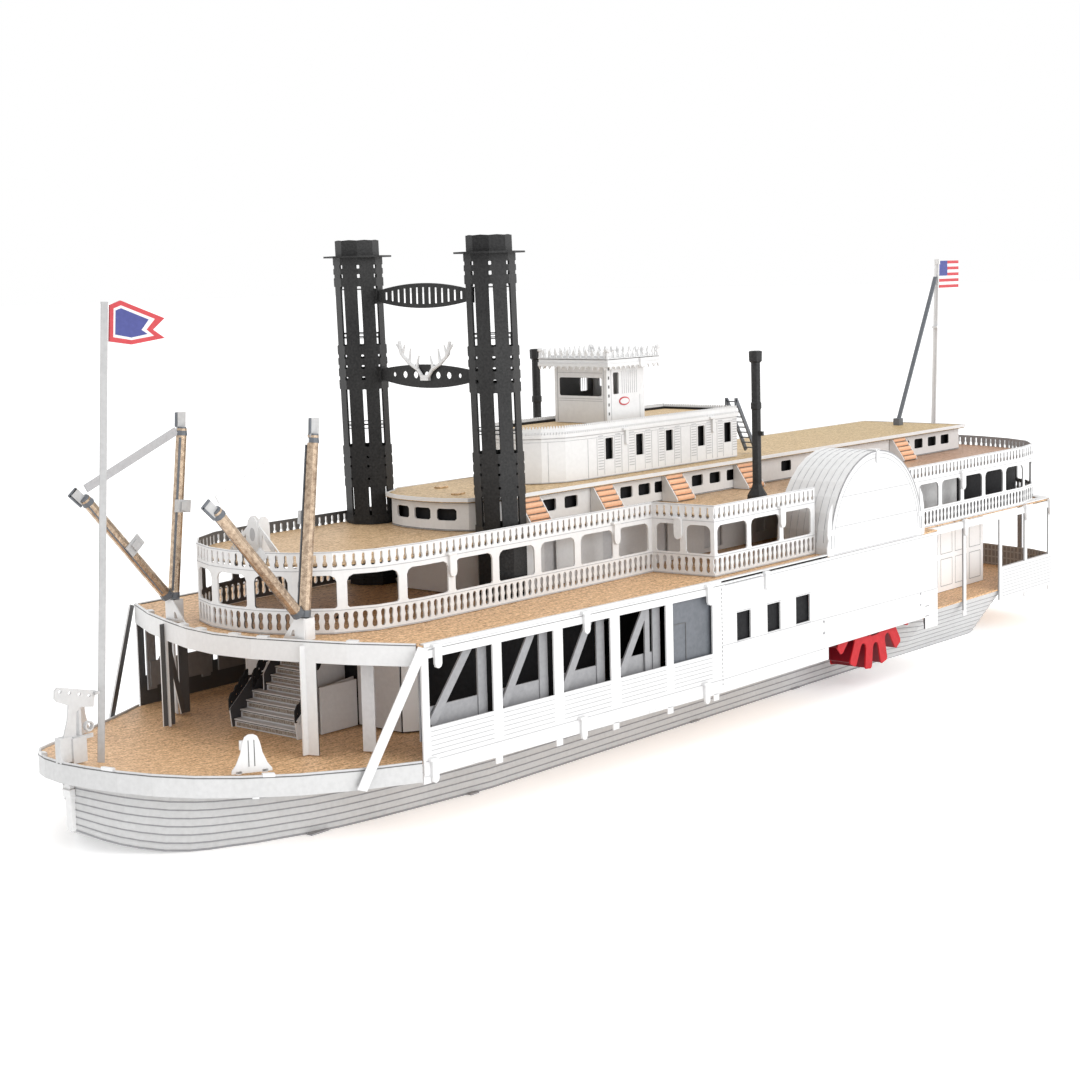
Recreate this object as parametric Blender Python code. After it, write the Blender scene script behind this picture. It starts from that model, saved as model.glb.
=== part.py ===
# Side wheel river steamer, a folded sheet steel display model
# Metres, +X to the bow, +Y to port, +Z up, standing on its flat hull bottom
import math

import bmesh
import bpy
from mathutils import Vector

MM = 0.001

# Driving dimensions in millimetres
SHEET = 0.30
GAP = 0.10
X_SHIFT = -1.95
DECK_MAIN = 10.3
DECK_BOILER = 27.5
DECK_HURRICANE = 38.2
BOW_RISE = 3.5
BOW_RISE_START = 94.0
BOW_RISE_RUN = 39.0
FOREFOOT_RISE = 3.5
SKIRT_BOTTOM = 8.0
WALL_HALF_BEAM = 36.4
AFT_HALF_BEAM = 33.3
CABIN_HALF_BEAM = 24.2
SALOON_HALF_BEAM = 15.0
RAIL_TOP = 31.3
ARCADE_HEAD = 36.7
FORE_ARCADE_TOP = 40.1
STERN_ARCADE_TOP = 40.4
HOUSE_TOP = 43.1
HOUSE_ROOF_TOP = 43.8
TEXAS_TOP = 54.0
TEXAS_ROOF_TOP = 53.0
WHEEL_X = -30.1
WHEEL_Y = 31.3
WHEEL_Z = 20.4
WHEEL_RADIUS = 17.2
WHEEL_WIDTH = 8.0
WHEEL_ARMS = 18
WHEEL_RING_INNER = 10.9
WHEEL_RING_OUTER = 12.4
WHEEL_TURN = math.radians(-4.0)
BORE_RADIUS = 1.1
SHAFT_RADIUS = 0.9
BOX_RADIUS = 17.0
BOX_CENTRE_Z = 28.6
BOX_INNER_Y = 24.6
FUNNEL_X = 54.7
FUNNEL_Y = 15.3
FUNNEL_RADIUS = 4.0
FUNNEL_TOP = 84.5
FUNNEL_RAKE = 1.3

# Material name, colour, roughness, metallic
MATERIALS = {
    "white_sheet": ((0.80, 0.80, 0.79), 0.40, 0.35),
    "grey_sheet": ((0.16, 0.16, 0.17), 0.45, 0.45),
    "black_sheet": ((0.02, 0.02, 0.022), 0.38, 0.40),
    "deck_tan": ((0.52, 0.33, 0.17), 0.55, 0.15),
    "roof_tan": ((0.45, 0.30, 0.18), 0.55, 0.15),
    "copper_spar": ((0.55, 0.27, 0.14), 0.30, 0.85),
    "wheel_red": ((0.50, 0.05, 0.05), 0.42, 0.30),
    "flag_blue": ((0.06, 0.08, 0.28), 0.45, 0.20),
    "flag_red": ((0.55, 0.06, 0.07), 0.45, 0.20),
}


def clear_scene():
    for item in list(bpy.data.objects):
        bpy.data.objects.remove(item, do_unlink=True)


def make_materials():
    made = {}
    for name, (colour, rough, metal) in MATERIALS.items():
        mat = bpy.data.materials.new(name)
        mat.use_nodes = True
        shader = mat.node_tree.nodes["Principled BSDF"]
        shader.inputs["Base Color"].default_value = (*colour, 1.0)
        shader.inputs["Roughness"].default_value = rough
        shader.inputs["Metallic"].default_value = metal
        mat.diffuse_color = (*colour, 1.0)
        made[name] = mat
    return made


def rise(x):
    """Height that the main deck gains towards the bow."""
    if x <= BOW_RISE_START:
        return 0.0
    return BOW_RISE * ((x - BOW_RISE_START) / BOW_RISE_RUN) ** 2.5


def place(name, mesh, mat, origin=(0.0, 0.0, 0.0), smooth=False):
    thing = bpy.data.objects.new(name, mesh)
    bpy.context.scene.collection.objects.link(thing)
    thing.location = ((origin[0] + X_SHIFT) * MM, origin[1] * MM, origin[2] * MM)
    if not mesh.materials:
        mesh.materials.append(mat)
    if smooth:
        for face in mesh.polygons:
            face.use_smooth = True
    return thing


def cells(name, counts, filled, where, wrap=(False, False, False)):
    """Skin of a block of cells: a face wherever a filled cell meets an empty one."""
    nu, nv, nw = counts
    bm = bmesh.new()
    known = {}

    def vert(i, j, k):
        if wrap[0]:
            i %= nu
        if wrap[1]:
            j %= nv
        key = (i, j, k)
        if key not in known:
            x, y, z = where(i, j, k)
            known[key] = bm.verts.new((x * MM, y * MM, z * MM))
        return known[key]

    def full(i, j, k):
        if wrap[0]:
            i %= nu
        if wrap[1]:
            j %= nv
        if not (0 <= i < nu and 0 <= j < nv and 0 <= k < nw):
            return False
        return filled(i, j, k)

    sides = (
        ((1, 0, 0), ((1, 0, 0), (1, 1, 0), (1, 1, 1), (1, 0, 1))),
        ((-1, 0, 0), ((0, 0, 0), (0, 0, 1), (0, 1, 1), (0, 1, 0))),
        ((0, 1, 0), ((0, 1, 0), (0, 1, 1), (1, 1, 1), (1, 1, 0))),
        ((0, -1, 0), ((0, 0, 0), (1, 0, 0), (1, 0, 1), (0, 0, 1))),
        ((0, 0, 1), ((0, 0, 1), (1, 0, 1), (1, 1, 1), (0, 1, 1))),
        ((0, 0, -1), ((0, 0, 0), (0, 1, 0), (1, 1, 0), (1, 0, 0))),
    )
    for i in range(nu):
        for j in range(nv):
            for k in range(nw):
                if not full(i, j, k):
                    continue
                for step, corners in sides:
                    if full(i + step[0], j + step[1], k + step[2]):
                        continue
                    ring = [vert(i + a, j + b, k + c) for a, b, c in corners]
                    if len(set(ring)) == 4:
                        bm.faces.new(ring)
    bmesh.ops.recalc_face_normals(bm, faces=bm.faces)
    mesh = bpy.data.meshes.new(name)
    bm.to_mesh(mesh)
    bm.free()
    return mesh


def merged(values):
    """Sorted breakpoints without near doubles."""
    out = []
    for value in sorted(values):
        if not out or value - out[-1] > 1e-4:
            out.append(value)
    return out


def run_lengths(path, closed):
    points = list(path) + ([path[0]] if closed else [])
    total = [0.0]
    for (ax, ay), (bx, by) in zip(points, points[1:]):
        total.append(total[-1] + math.hypot(bx - ax, by - ay))
    return total


def corner_normals(path, closed):
    """Offset direction to the left of the path at each corner, mitred."""
    count = len(path)
    out = []
    for i in range(count):
        dirs = []
        if closed or i > 0:
            a, b = path[i - 1], path[i]
            dirs.append((b[0] - a[0], b[1] - a[1]))
        if closed or i < count - 1:
            a, b = path[i], path[(i + 1) % count]
            dirs.append((b[0] - a[0], b[1] - a[1]))
        nx = ny = 0.0
        units = []
        for dx, dy in dirs:
            size = math.hypot(dx, dy)
            units.append((-dy / size, dx / size))
        for ux, uy in units:
            nx += ux
            ny += uy
        size = math.hypot(nx, ny)
        nx, ny = nx / size, ny / size
        scale = 1.0 / max(0.35, nx * units[0][0] + ny * units[0][1])
        out.append((nx * scale, ny * scale))
    return out


def wall(name, path, bottom, top, openings=(), closed=False, thick=SHEET, lift=None, extra=()):
    """Upright folded sheet along a plan path, thick to the left of its run.

    Each opening is (s0, s1, z0, z1), s being the length along the path.
    """
    lengths = run_lengths(path, closed)
    normals = corner_normals(path, closed)
    stops = list(lengths) + list(extra)
    levels = [bottom, top]
    for s0, s1, z0, z1 in openings:
        stops += [s0, s1]
        levels += [z0, z1]
    stops = merged([s for s in stops if -1e-6 <= s <= lengths[-1] + 1e-6])
    levels = merged([z for z in levels if bottom - 1e-6 <= z <= top + 1e-6])
    if closed:
        stops = stops[:-1]

    def plan(s, side):
        for i in range(len(lengths) - 1):
            if s <= lengths[i + 1] + 1e-6:
                f = (s - lengths[i]) / (lengths[i + 1] - lengths[i])
                j = (i + 1) % len(path)
                ax = path[i][0] + normals[i][0] * thick * side
                ay = path[i][1] + normals[i][1] * thick * side
                bx = path[j][0] + normals[j][0] * thick * side
                by = path[j][1] + normals[j][1] * thick * side
                return ax + (bx - ax) * f, ay + (by - ay) * f
        return path[-1]

    count = len(stops) if closed else len(stops) - 1
    ends = stops + [lengths[-1]]

    def filled(i, j, k):
        s = (ends[i] + ends[i + 1]) / 2
        z = (levels[k] + levels[k + 1]) / 2
        return not any(s0 < s < s1 and z0 < z < z1 for s0, s1, z0, z1 in openings)

    def where(i, j, k):
        x, y = plan(stops[i], j)
        z = levels[k]
        if lift:
            z += lift(x)
        return x, y, z

    return cells(name, (count, 1, len(levels) - 1), filled, where, (closed, False, False))


def deck(name, stations, z0, z1, lift=None):
    """Flat plate from stations (x, inner y, outer y, outer part kept)."""
    rows = list(stations)

    def filled(i, j, k):
        return j == 1 or rows[i][3]

    def where(i, j, k):
        x, inner, outer, _ = rows[i]
        y = (-outer, -inner, inner, outer)[j]
        z = (z0, z1)[k]
        if lift:
            z += lift(x)
        return x, y, z

    return cells(name, (len(rows) - 1, 3, 1), filled, where)


def block(name, x0, x1, y0, y1, z0, z1):
    return cells(
        name, (1, 1, 1), lambda i, j, k: True,
        lambda i, j, k: ((x0, x1)[i], (y0, y1)[j], (z0, z1)[k]))


def prism(name, outline, thick, to_xyz):
    """Flat plate of one outline, thick about its own plane."""
    bm = bmesh.new()
    front = [bm.verts.new(Vector(to_xyz(a, b, thick / 2)) * MM) for a, b in outline]
    back = [bm.verts.new(Vector(to_xyz(a, b, -thick / 2)) * MM) for a, b in outline]
    bm.faces.new(front)
    bm.faces.new(list(reversed(back)))
    count = len(outline)
    for i in range(count):
        j = (i + 1) % count
        bm.faces.new((front[j], front[i], back[i], back[j]))
    bmesh.ops.recalc_face_normals(bm, faces=bm.faces)
    mesh = bpy.data.meshes.new(name)
    bm.to_mesh(mesh)
    bm.free()
    return mesh


def rod(name, start, end, radius, sides=8, end_radius=None):
    """Round bar between two points."""
    a, b = Vector(start), Vector(end)
    axis = (b - a).normalized()
    across = axis.orthogonal().normalized()
    other = axis.cross(across)
    tip = radius if end_radius is None else end_radius
    bm = bmesh.new()
    rings = []
    for centre, size in ((a, radius), (b, tip)):
        ring = []
        for i in range(sides):
            t = 2 * math.pi * (i + 0.5) / sides
            p = centre + (across * math.cos(t) + other * math.sin(t)) * size
            ring.append(bm.verts.new(p * MM))
        rings.append(ring)
    bm.faces.new(list(reversed(rings[0])))
    bm.faces.new(rings[1])
    for i in range(sides):
        j = (i + 1) % sides
        bm.faces.new((rings[0][i], rings[0][j], rings[1][j], rings[1][i]))
    bmesh.ops.recalc_face_normals(bm, faces=bm.faces)
    mesh = bpy.data.meshes.new(name)
    bm.to_mesh(mesh)
    bm.free()
    return mesh


def strip(name, start, end, width, thick, across):
    """Flat strip between two points, its width along the given direction."""
    a, b = Vector(start), Vector(end)
    side = Vector(across).normalized() * (width / 2)
    up = (b - a).cross(side).normalized() * (thick / 2)
    pts = [a, b]
    return cells(
        name, (1, 1, 1), lambda i, j, k: True,
        lambda i, j, k: tuple(pts[i] + side * (2 * j - 1) + up * (2 * k - 1)))


def tube(name, rings, levels, sides, keep=None, rake=0.0):
    """Round tube: rings gives (inner, outer) radius at each level."""
    def where(i, j, k):
        t = 2 * math.pi * i / sides
        r = rings[k][j]
        lean = rake * (levels[k] - levels[0]) / (levels[-1] - levels[0])
        return r * math.cos(t) + lean, r * math.sin(t), levels[k]

    return cells(
        name, (sides, 1, len(levels) - 1), keep or (lambda i, j, k: True),
        where, (True, False, False))


def mirrored(half):
    """Whole path from its port half: port end to bow to starboard end."""
    back = [(x, -y) for x, y in reversed(half) if abs(y) > 1e-6]
    return list(half) + back


def inset(half, amount):
    normals = corner_normals(half, False)
    return [(x - n[0] * amount, y - n[1] * amount) for (x, y), n in zip(half, normals)]


# Half plans, port side from aft to the bow, columns x and y
GUARD_BOW = (
    (93.5, 33.1), (101.9, 28.9), (109.7, 24.7), (116.9, 20.5), (122.6, 16.9),
    (127.0, 13.2), (130.0, 9.2), (132.0, 4.8), (133.0, 0.0),
)
GALLERY_BOW = (
    (93.6, 32.6), (98.2, 23.0), (100.8, 15.5), (103.2, 7.5), (104.1, 0.0),
)
ARCADE_FORE = (
    (-12.8, 33.3), (19.5, 33.3), (20.3, 20.4), (79.0, 20.2), (87.5, 18.9),
    (93.6, 15.6), (97.6, 11.0), (99.8, 5.5), (100.4, 0.0),
)
# Port half of each deck house, from its shoulder to the bow
LOW_HOUSE = ((51.5, 12.0), (55.8, 9.0), (57.3, 5.0), (57.8, 0.0))
TEXAS = ((24.0, 9.0), (29.4, 8.4), (33.4, 6.2), (36.0, 3.2), (37.0, 0.0))
HOUSE_WINDOWS = (
    38.4, 32.5, 16.7, 11.3, 6.4, -5.3, -11.1, -16.8, -35.9, -89.5, -95.5, -101.4)
# Half plans of the stern, port side from forward to aft
STERN = (
    (-53.7, 33.3), (-112.0, 33.0), (-115.6, 26.5), (-118.4, 14.0), (-119.6, 0.0),
)
STERN_ARCADE = (
    (-47.6, 33.3), (-98.0, 33.1), (-105.5, 31.6), (-111.5, 27.4), (-115.4, 21.0),
    (-118.2, 12.5), (-119.6, 0.0),
)


def stern_path(half):
    half = list(half)
    return half + [(x, -y) for x, y in reversed(half[:-1])]


def spot(path, index, closed=False):
    return run_lengths(path, closed)[index]


def along(path, x):
    """Length along the path at which it first reaches station x."""
    lengths = run_lengths(path, False)
    for i in range(len(path) - 1):
        a, b = path[i][0], path[i + 1][0]
        if min(a, b) - 1e-6 <= x <= max(a, b) + 1e-6 and abs(a - b) > 1e-6:
            return lengths[i] + (x - a) / (b - a) * (lengths[i + 1] - lengths[i])
    return lengths[-1]


def flip_path(path):
    return [(x, -y) for x, y in path]


def build_hull(mats):
    # x, half breadth at the top, half breadth at the bottom
    rows = (
        (-100.5, 8.0, 6.0), (-99.4, 18.0, 14.5), (-96.5, 26.5, 21.0), (-92.5, 31.0, 24.6),
        (-88.0, 32.7, 25.8), (-57.0, 32.7, 25.4), (-49.5, 25.9, 25.0), (70.0, 25.6, 25.0),
        (84.0, 24.9, 23.4), (99.0, 22.6, 21.2),
        (108.0, 20.2, 18.4), (115.0, 17.6, 15.4), (120.5, 14.8, 12.5), (125.5, 10.6, 7.8),
        (128.8, 6.0, 3.6), (131.0, 1.0, 0.8),
    )

    def where(i, j, k):
        x, top, bottom = rows[i]
        if k == 1:
            return x, top * (-1, 1)[j], DECK_MAIN - SHEET - GAP + rise(x)
        z = FOREFOOT_RISE * (max(0.0, x - 116.0) / 15.0) ** 3
        if x < -66.0:
            x = -66.0 + (x + 66.0) * 0.93
        return x, bottom * (-1, 1)[j], z

    mesh = cells("hull", (len(rows) - 1, 1, 1), lambda i, j, k: True, where)
    place("hull", mesh, mats["white_sheet"])


def build_main_deck(mats):
    edge = inset(GUARD_BOW, SHEET + GAP)
    side = WALL_HALF_BEAM - SHEET - GAP
    rows = []
    for x in (-118.8, -118.0, -115.2):
        y = {-118.8: 3.0, -118.0: 13.8, -115.2: 26.0}[x]
        rows.append((x, y * 0.7, y, True))
    rows += [
        (-111.8, 23.0, 32.6, True), (-53.6, 26.0, 32.9, True), (-53.4, 26.0, side, True),
        (-48.4, 26.0, side, False), (-12.2, 26.0, side, True), (22.0, 25.0, side, True),
    ]
    for x, y in edge[:-1]:
        rows.append((x, y * 0.7, y, True))
    rows.append((edge[-1][0] - 0.3, 1.4, 2.0, True))
    mesh = deck("main_deck", rows, DECK_MAIN - SHEET, DECK_MAIN, rise)
    place("main_deck", mesh, mats["deck_tan"])


def build_guards(mats):
    path = mirrored(GUARD_BOW)
    mesh = wall("bow_guard", path, DECK_MAIN - 2.9, DECK_MAIN + 0.3, lift=rise, thick=-SHEET)
    place("bow_guard", mesh, mats["white_sheet"])


def build_side_wall(name, hand, mats):
    path = [(93.1, 33.12), (22.0, WALL_HALF_BEAM), (-53.5, WALL_HALF_BEAM)]
    # Forward windows: front edge x, aft edge x
    tall = ((91.7, 78.3), (76.4, 64.7), (62.6, 51.2), (48.9, 37.1), (35.3, 24.6))
    # Small windows abreast of the wheel
    small = ((17.5, 13.2), (8.0, 3.8), (-1.3, -6.0))
    openings = [(along(path, a), along(path, b), 15.2, 25.5) for a, b in tall]
    openings += [(along(path, a), along(path, b), 16.3, 21.3) for a, b in small]
    openings.append((along(path, -12.2), along(path, -48.4), SKIRT_BOTTOM, DECK_MAIN))
    thick = SHEET
    if hand < 0:
        path = flip_path(path)
        thick = -SHEET
    top = DECK_BOILER - SHEET - GAP
    mesh = wall(name, path, SKIRT_BOTTOM, top, openings, thick=thick)
    place(name, mesh, mats["white_sheet"])


def build_main_cabin(mats):
    w = CABIN_HALF_BEAM
    path = [(82.0, -18.0), (82.0, 18.0), (72.0, w), (-96.0, w), (-96.0, -w), (72.0, -w)]
    length = run_lengths(path, True)
    openings = []
    # Door or window centre x, half width
    for x, half in ((40.0, 2.0), (24.0, 2.0), (8.0, 3.0), (-62.0, 2.0), (-74.0, 2.0), (-86.0, 2.0)):
        s = length[2] + (72.0 - x)
        openings.append((s - half, s + half, 12.0, 22.0))
        s = length[4] + (x + 96.0)
        openings.append((s - half, s + half, 12.0, 22.0))
    mesh = wall("main_cabin", path, DECK_MAIN + GAP, DECK_BOILER - SHEET - GAP, openings, True)
    place("main_cabin", mesh, mats["grey_sheet"])


def build_boiler_deck(mats):
    side = WALL_HALF_BEAM
    cut = BOX_INNER_Y - GAP
    front = -13.1 + GAP
    back = -47.1 - GAP
    rows = [
        (-118.8, 2.1, 3.0, True), (-118.0, 9.6, 13.8, True), (-115.2, 18.0, 26.0, True),
        (-111.8, cut, 32.6, True), (-53.7, cut, 32.9, True), (-53.5, cut, side, True),
        (back, cut, side, False), (front, cut, side, True), (22.0, cut, side, True),
        (92.9, 23.0, 33.0, True),
    ]
    for x, y in inset(GALLERY_BOW, SHEET + GAP)[:-1]:
        rows.append((x, y * 0.7, y, True))
    rows.append((103.35, 1.4, 2.0, True))
    mesh = deck("boiler_deck", rows, DECK_BOILER - SHEET, DECK_BOILER)
    place("boiler_deck", mesh, mats["deck_tan"])


def build_bow_gallery(mats):
    path = mirrored(GALLERY_BOW)
    length = run_lengths(path, False)
    total = length[-1]
    foot = DECK_MAIN + GAP + 0.15
    # Posts: start and end lengths, in pairs port and starboard
    posts = ((length[2] - 2.7, length[2] - 0.1),)
    edges = [0.0]
    for a, b in posts:
        edges += [a, b]
    for a, b in reversed(posts):
        edges += [total - b, total - a]
    edges.append(total)
    openings = []
    for a, b in zip(edges[0::2], edges[1::2]):
        openings.append((a, b, foot, 24.5))
    mesh = wall("bow_gallery", path, foot, DECK_BOILER + 0.4, openings, thick=-SHEET)
    place("bow_gallery", mesh, mats["white_sheet"])
    for name, hand in (("port_diagonal_brace", 1), ("starboard_diagonal_brace", -1)):
        mesh = strip(
            name, (93.3, hand * 33.75, 27.4), (102.4, hand * 29.5, 7.6), 1.5, SHEET,
            (0.85, -hand * 0.42, 0.3))
        place(name, mesh, mats["white_sheet"])


def build_grand_stair(mats):
    # Step front x, top z, half width
    steps = (
        (94.2, 11.7, 7.5), (92.9, 13.0, 7.5), (91.6, 14.3, 7.5), (90.3, 15.6, 7.5),
        (89.0, 16.8, 5.5), (88.0, 18.0, 5.5), (87.0, 19.2, 5.5), (86.0, 20.4, 5.5),
        (85.0, 21.6, 5.5), (84.0, 22.8, 5.5), (83.1, 24.0, 5.5), (82.2, 24.0, 5.5),
    )
    xs = [row[0] for row in reversed(steps)]
    tops = [DECK_MAIN + GAP + 0.1] + [row[1] for row in steps[:-1]]

    def filled(i, j, k):
        row = steps[len(steps) - 2 - i]
        top = (tops[k] + tops[k + 1]) / 2
        if j != 1 and row[2] < 6.0:
            return False
        return top < row[1]

    def where(i, j, k):
        return xs[i], (-7.5, -5.5, 5.5, 7.5)[j], tops[k]

    mesh = cells("grand_stair", (len(xs) - 1, 3, len(tops) - 1), filled, where)
    place("grand_stair", mesh, mats["grey_sheet"])


def build_saloon(mats):
    w = SALOON_HALF_BEAM
    path = [(56.6, -5.5), (56.6, 5.5), (48.5, w), (-104.0, w), (-104.0, -w), (48.5, -w)]
    length = run_lengths(path, True)
    openings = []
    for step in range(9):
        x = 42.0 - 16.0 * step
        # The fourth one is the door
        half, low = (3.0, 28.4) if step == 3 else (1.6, 29.5)
        s = length[2] + (48.5 - x)
        openings.append((s - half, s + half, low, 35.5))
        s = length[4] + (x + 104.0)
        openings.append((s - half, s + half, low, 35.5))
    bottom = DECK_BOILER + GAP
    mesh = wall("saloon", path, bottom, DECK_HURRICANE - SHEET - GAP, openings, True)
    place("saloon", mesh, mats["white_sheet"])


def arcade_openings(stops, width):
    out = []
    for a, b in zip(stops, stops[1:]):
        out.append((a + width / 2, b - width / 2, RAIL_TOP, ARCADE_HEAD))
    return out


def build_arcades(mats):
    path = mirrored(ARCADE_FORE)
    length = run_lengths(path, False)
    total = length[-1]
    corner = length[1]
    # Post centres of the port half, by length along the path
    inner = length[2]
    posts = [0.8, 11.2, 21.6, corner - 0.3]
    turn = [corner + 0.2, (corner + inner) / 2, inner - 0.2]
    posts2 = [inner + 0.3] + [inner + 10.4 * i for i in range(1, 8)]
    posts2 += [inner + 80.3, inner + 87.6]
    openings = arcade_openings(posts, 1.2)
    openings += arcade_openings(turn, 1.2)
    openings += arcade_openings(posts2, 1.6)
    openings += [(total - b, total - a, z0, z1) for a, b, z0, z1 in openings]
    openings += arcade_openings([posts2[-1], total - posts2[-1]], 1.6)
    mesh = wall("fore_arcade", path, DECK_BOILER + GAP, FORE_ARCADE_TOP, openings, thick=-SHEET)
    place("fore_arcade", mesh, mats["white_sheet"])
    path = stern_path(STERN_ARCADE)
    length = run_lengths(path, False)
    total = length[-1]
    posts = [3.4 + 9.5 * i for i in range(0, 7)]
    openings = arcade_openings(posts, 1.4)
    openings += [(total - b, total - a, z0, z1) for a, b, z0, z1 in openings]
    gap = (total - 2 * posts[-1]) / 7
    middle = [posts[-1] + gap * i for i in range(8)]
    openings += arcade_openings(middle, 1.4)
    mesh = wall("stern_arcade", path, DECK_BOILER + GAP, STERN_ARCADE_TOP, openings, thick=SHEET)
    place("stern_arcade", mesh, mats["white_sheet"])


def build_stern_gallery(mats):
    path = stern_path(STERN)
    length = run_lengths(path, False)
    total = length[-1]
    posts = [0.8] + [(-53.7 - x) for x in (-71.0, -87.3, -99.3, -111.0)]
    openings = []
    lower = (SKIRT_BOTTOM, SKIRT_BOTTOM, 15.0, 15.0)
    for (a, b), low in zip(zip(posts, posts[1:]), lower):
        openings.append((a + 0.6, b - 0.6, low, 25.6))
    openings += [(total - b, total - a, z0, z1) for a, b, z0, z1 in openings]
    gap = (total - 2 * posts[-1]) / 6
    middle = [posts[-1] + gap * i for i in range(7)]
    for a, b in zip(middle, middle[1:]):
        openings.append((a + 0.6, b - 0.6, 15.0, 25.6))
    top = DECK_BOILER - SHEET - GAP
    mesh = wall("stern_gallery", path, SKIRT_BOTTOM, top, openings, thick=SHEET)
    place("stern_gallery", mesh, mats["white_sheet"])


def build_hurricane_deck(mats):
    cut = BOX_INNER_Y - GAP
    front = -13.1 + GAP
    back = -47.1 - GAP
    rows = [(-118.8, 2.1, 3.0, True)]
    for x, y in reversed(inset(STERN_ARCADE, -SHEET - GAP)[1:-1]):
        rows.append((x, y * 0.7, y, True))
    rows += [
        (back - 0.2, cut, 32.8, True), (back, cut, 32.8, False), (front, cut, 32.8, True),
        (18.9, 19.8, 32.8, False),
    ]
    for x, y in inset(ARCADE_FORE, SHEET + GAP)[3:-1]:
        rows.append((x, y, y + 1.0, False))
    rows.append((99.6, 2.0, 3.0, False))
    mesh = deck("hurricane_deck", rows, DECK_HURRICANE - SHEET, DECK_HURRICANE)
    place("hurricane_deck", mesh, mats["roof_tan"])


def build_houses(mats):
    bottom = DECK_HURRICANE + GAP
    half = LOW_HOUSE
    path = [(x, -y) for x, y in half] + [(x, y) for x, y in reversed(half) if y > 0.0]
    path += [(-108.0, 12.0), (-108.0, -12.0)]
    length = run_lengths(path, True)
    port = 2 * len(half) - 2
    middle = length[len(half) - 1]
    openings = [(s - 1.9, s + 1.9, 40.0, 42.0) for s in (middle - 5.2, middle, middle + 5.2)]
    # Small windows: station x
    for x in HOUSE_WINDOWS:
        s = length[port] + (half[0][0] - x)
        openings.append((s - 1.55, s + 1.55, 40.0, 42.0))
        s = length[port + 2] + (x + 108.0)
        openings.append((s - 1.55, s + 1.55, 40.0, 42.0))
    mesh = wall("low_house", path, bottom, HOUSE_TOP, openings, True)
    place("low_house", mesh, mats["white_sheet"])
    rows = (
        (-108.2, 9.0, 13.4, True), (50.2, 9.0, 13.4, True), (52.8, 8.0, 11.45, True),
        (56.6, 6.0, 9.6, True), (58.4, 3.5, 5.6, True), (59.0, 1.0, 2.0, True),
    )
    mesh = deck("low_house_roof", rows, HOUSE_TOP + GAP, HOUSE_ROOF_TOP)
    place("low_house_roof", mesh, mats["roof_tan"])
    # Upper cabin with a round front, its walls standing up past its roof
    half = TEXAS
    path = [(x, -y) for x, y in half] + [(x, y) for x, y in reversed(half) if y > 0.0]
    path += [(-23.0, 9.0), (-23.0, -9.0)]
    length = run_lengths(path, True)
    port = 2 * len(half) - 2
    openings = []
    # Tall windows: station x
    for x in (18.0, 9.2, 0.9, -6.9, -14.2, -18.9):
        s = length[port] + (half[0][0] - x)
        openings.append((s - 0.7, s + 0.7, 46.6, 50.8))
        s = length[port + 2] + (x + 23.0)
        openings.append((s - 0.7, s + 0.7, 46.6, 50.8))
    mesh = wall("texas", path, HOUSE_ROOF_TOP + GAP, TEXAS_TOP, openings, True)
    place("texas", mesh, mats["white_sheet"])
    edge = SHEET + GAP
    rows = [(-23.0 + edge, 6.0, 9.0 - edge, True)]
    for x, y in inset(TEXAS, edge)[:-1]:
        rows.append((x, y * 0.6, y, True))
    rows.append((37.0 - edge - 0.2, 0.3, 0.6, True))
    mesh = deck("texas_roof", rows, TEXAS_ROOF_TOP - 0.5, TEXAS_ROOF_TOP)
    place("texas_roof", mesh, mats["roof_tan"])
    path = [(14.5, -6.2), (14.5, 6.2), (3.2, 6.2), (3.2, -6.2)]
    length = run_lengths(path, True)
    openings = [
        (length[0] + 1.4, length[0] + 11.0, 58.2, 61.4),
        (length[1] + 1.0, length[1] + 3.4, 58.2, 62.0),
        (length[3] + 7.9, length[3] + 10.3, 58.2, 62.0),
    ]
    mesh = wall("pilot_house", path, TEXAS_ROOF_TOP + GAP, 63.4, openings, True)
    place("pilot_house", mesh, mats["white_sheet"])
    rows = ((1.0, 5.0, 8.2, True), (16.6, 5.0, 8.2, True))
    mesh = deck("pilot_house_roof", rows, 63.5, 66.0)
    place("pilot_house_roof", mesh, mats["white_sheet"])
    mesh = cells(
        "steps", (5, 1, 5), lambda i, j, k: k <= i,
        lambda i, j, k: (-1.9 + 3.8 * j, -3.4 * (1 - i / 5.0), 0.96 * k))
    for index, x in enumerate((44.5, 24.7, 3.5, -18.0, -79.0)):
        for name, hand in (("port", -1), ("starboard", 1)):
            thing = place(
                "%s_steps_%d" % (name, index + 1), mesh, mats["roof_tan"],
                (x, -hand * 12.1, DECK_HURRICANE + GAP))
            thing.rotation_euler = (0.0, 0.0, math.pi if hand < 0 else 0.0)


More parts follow.
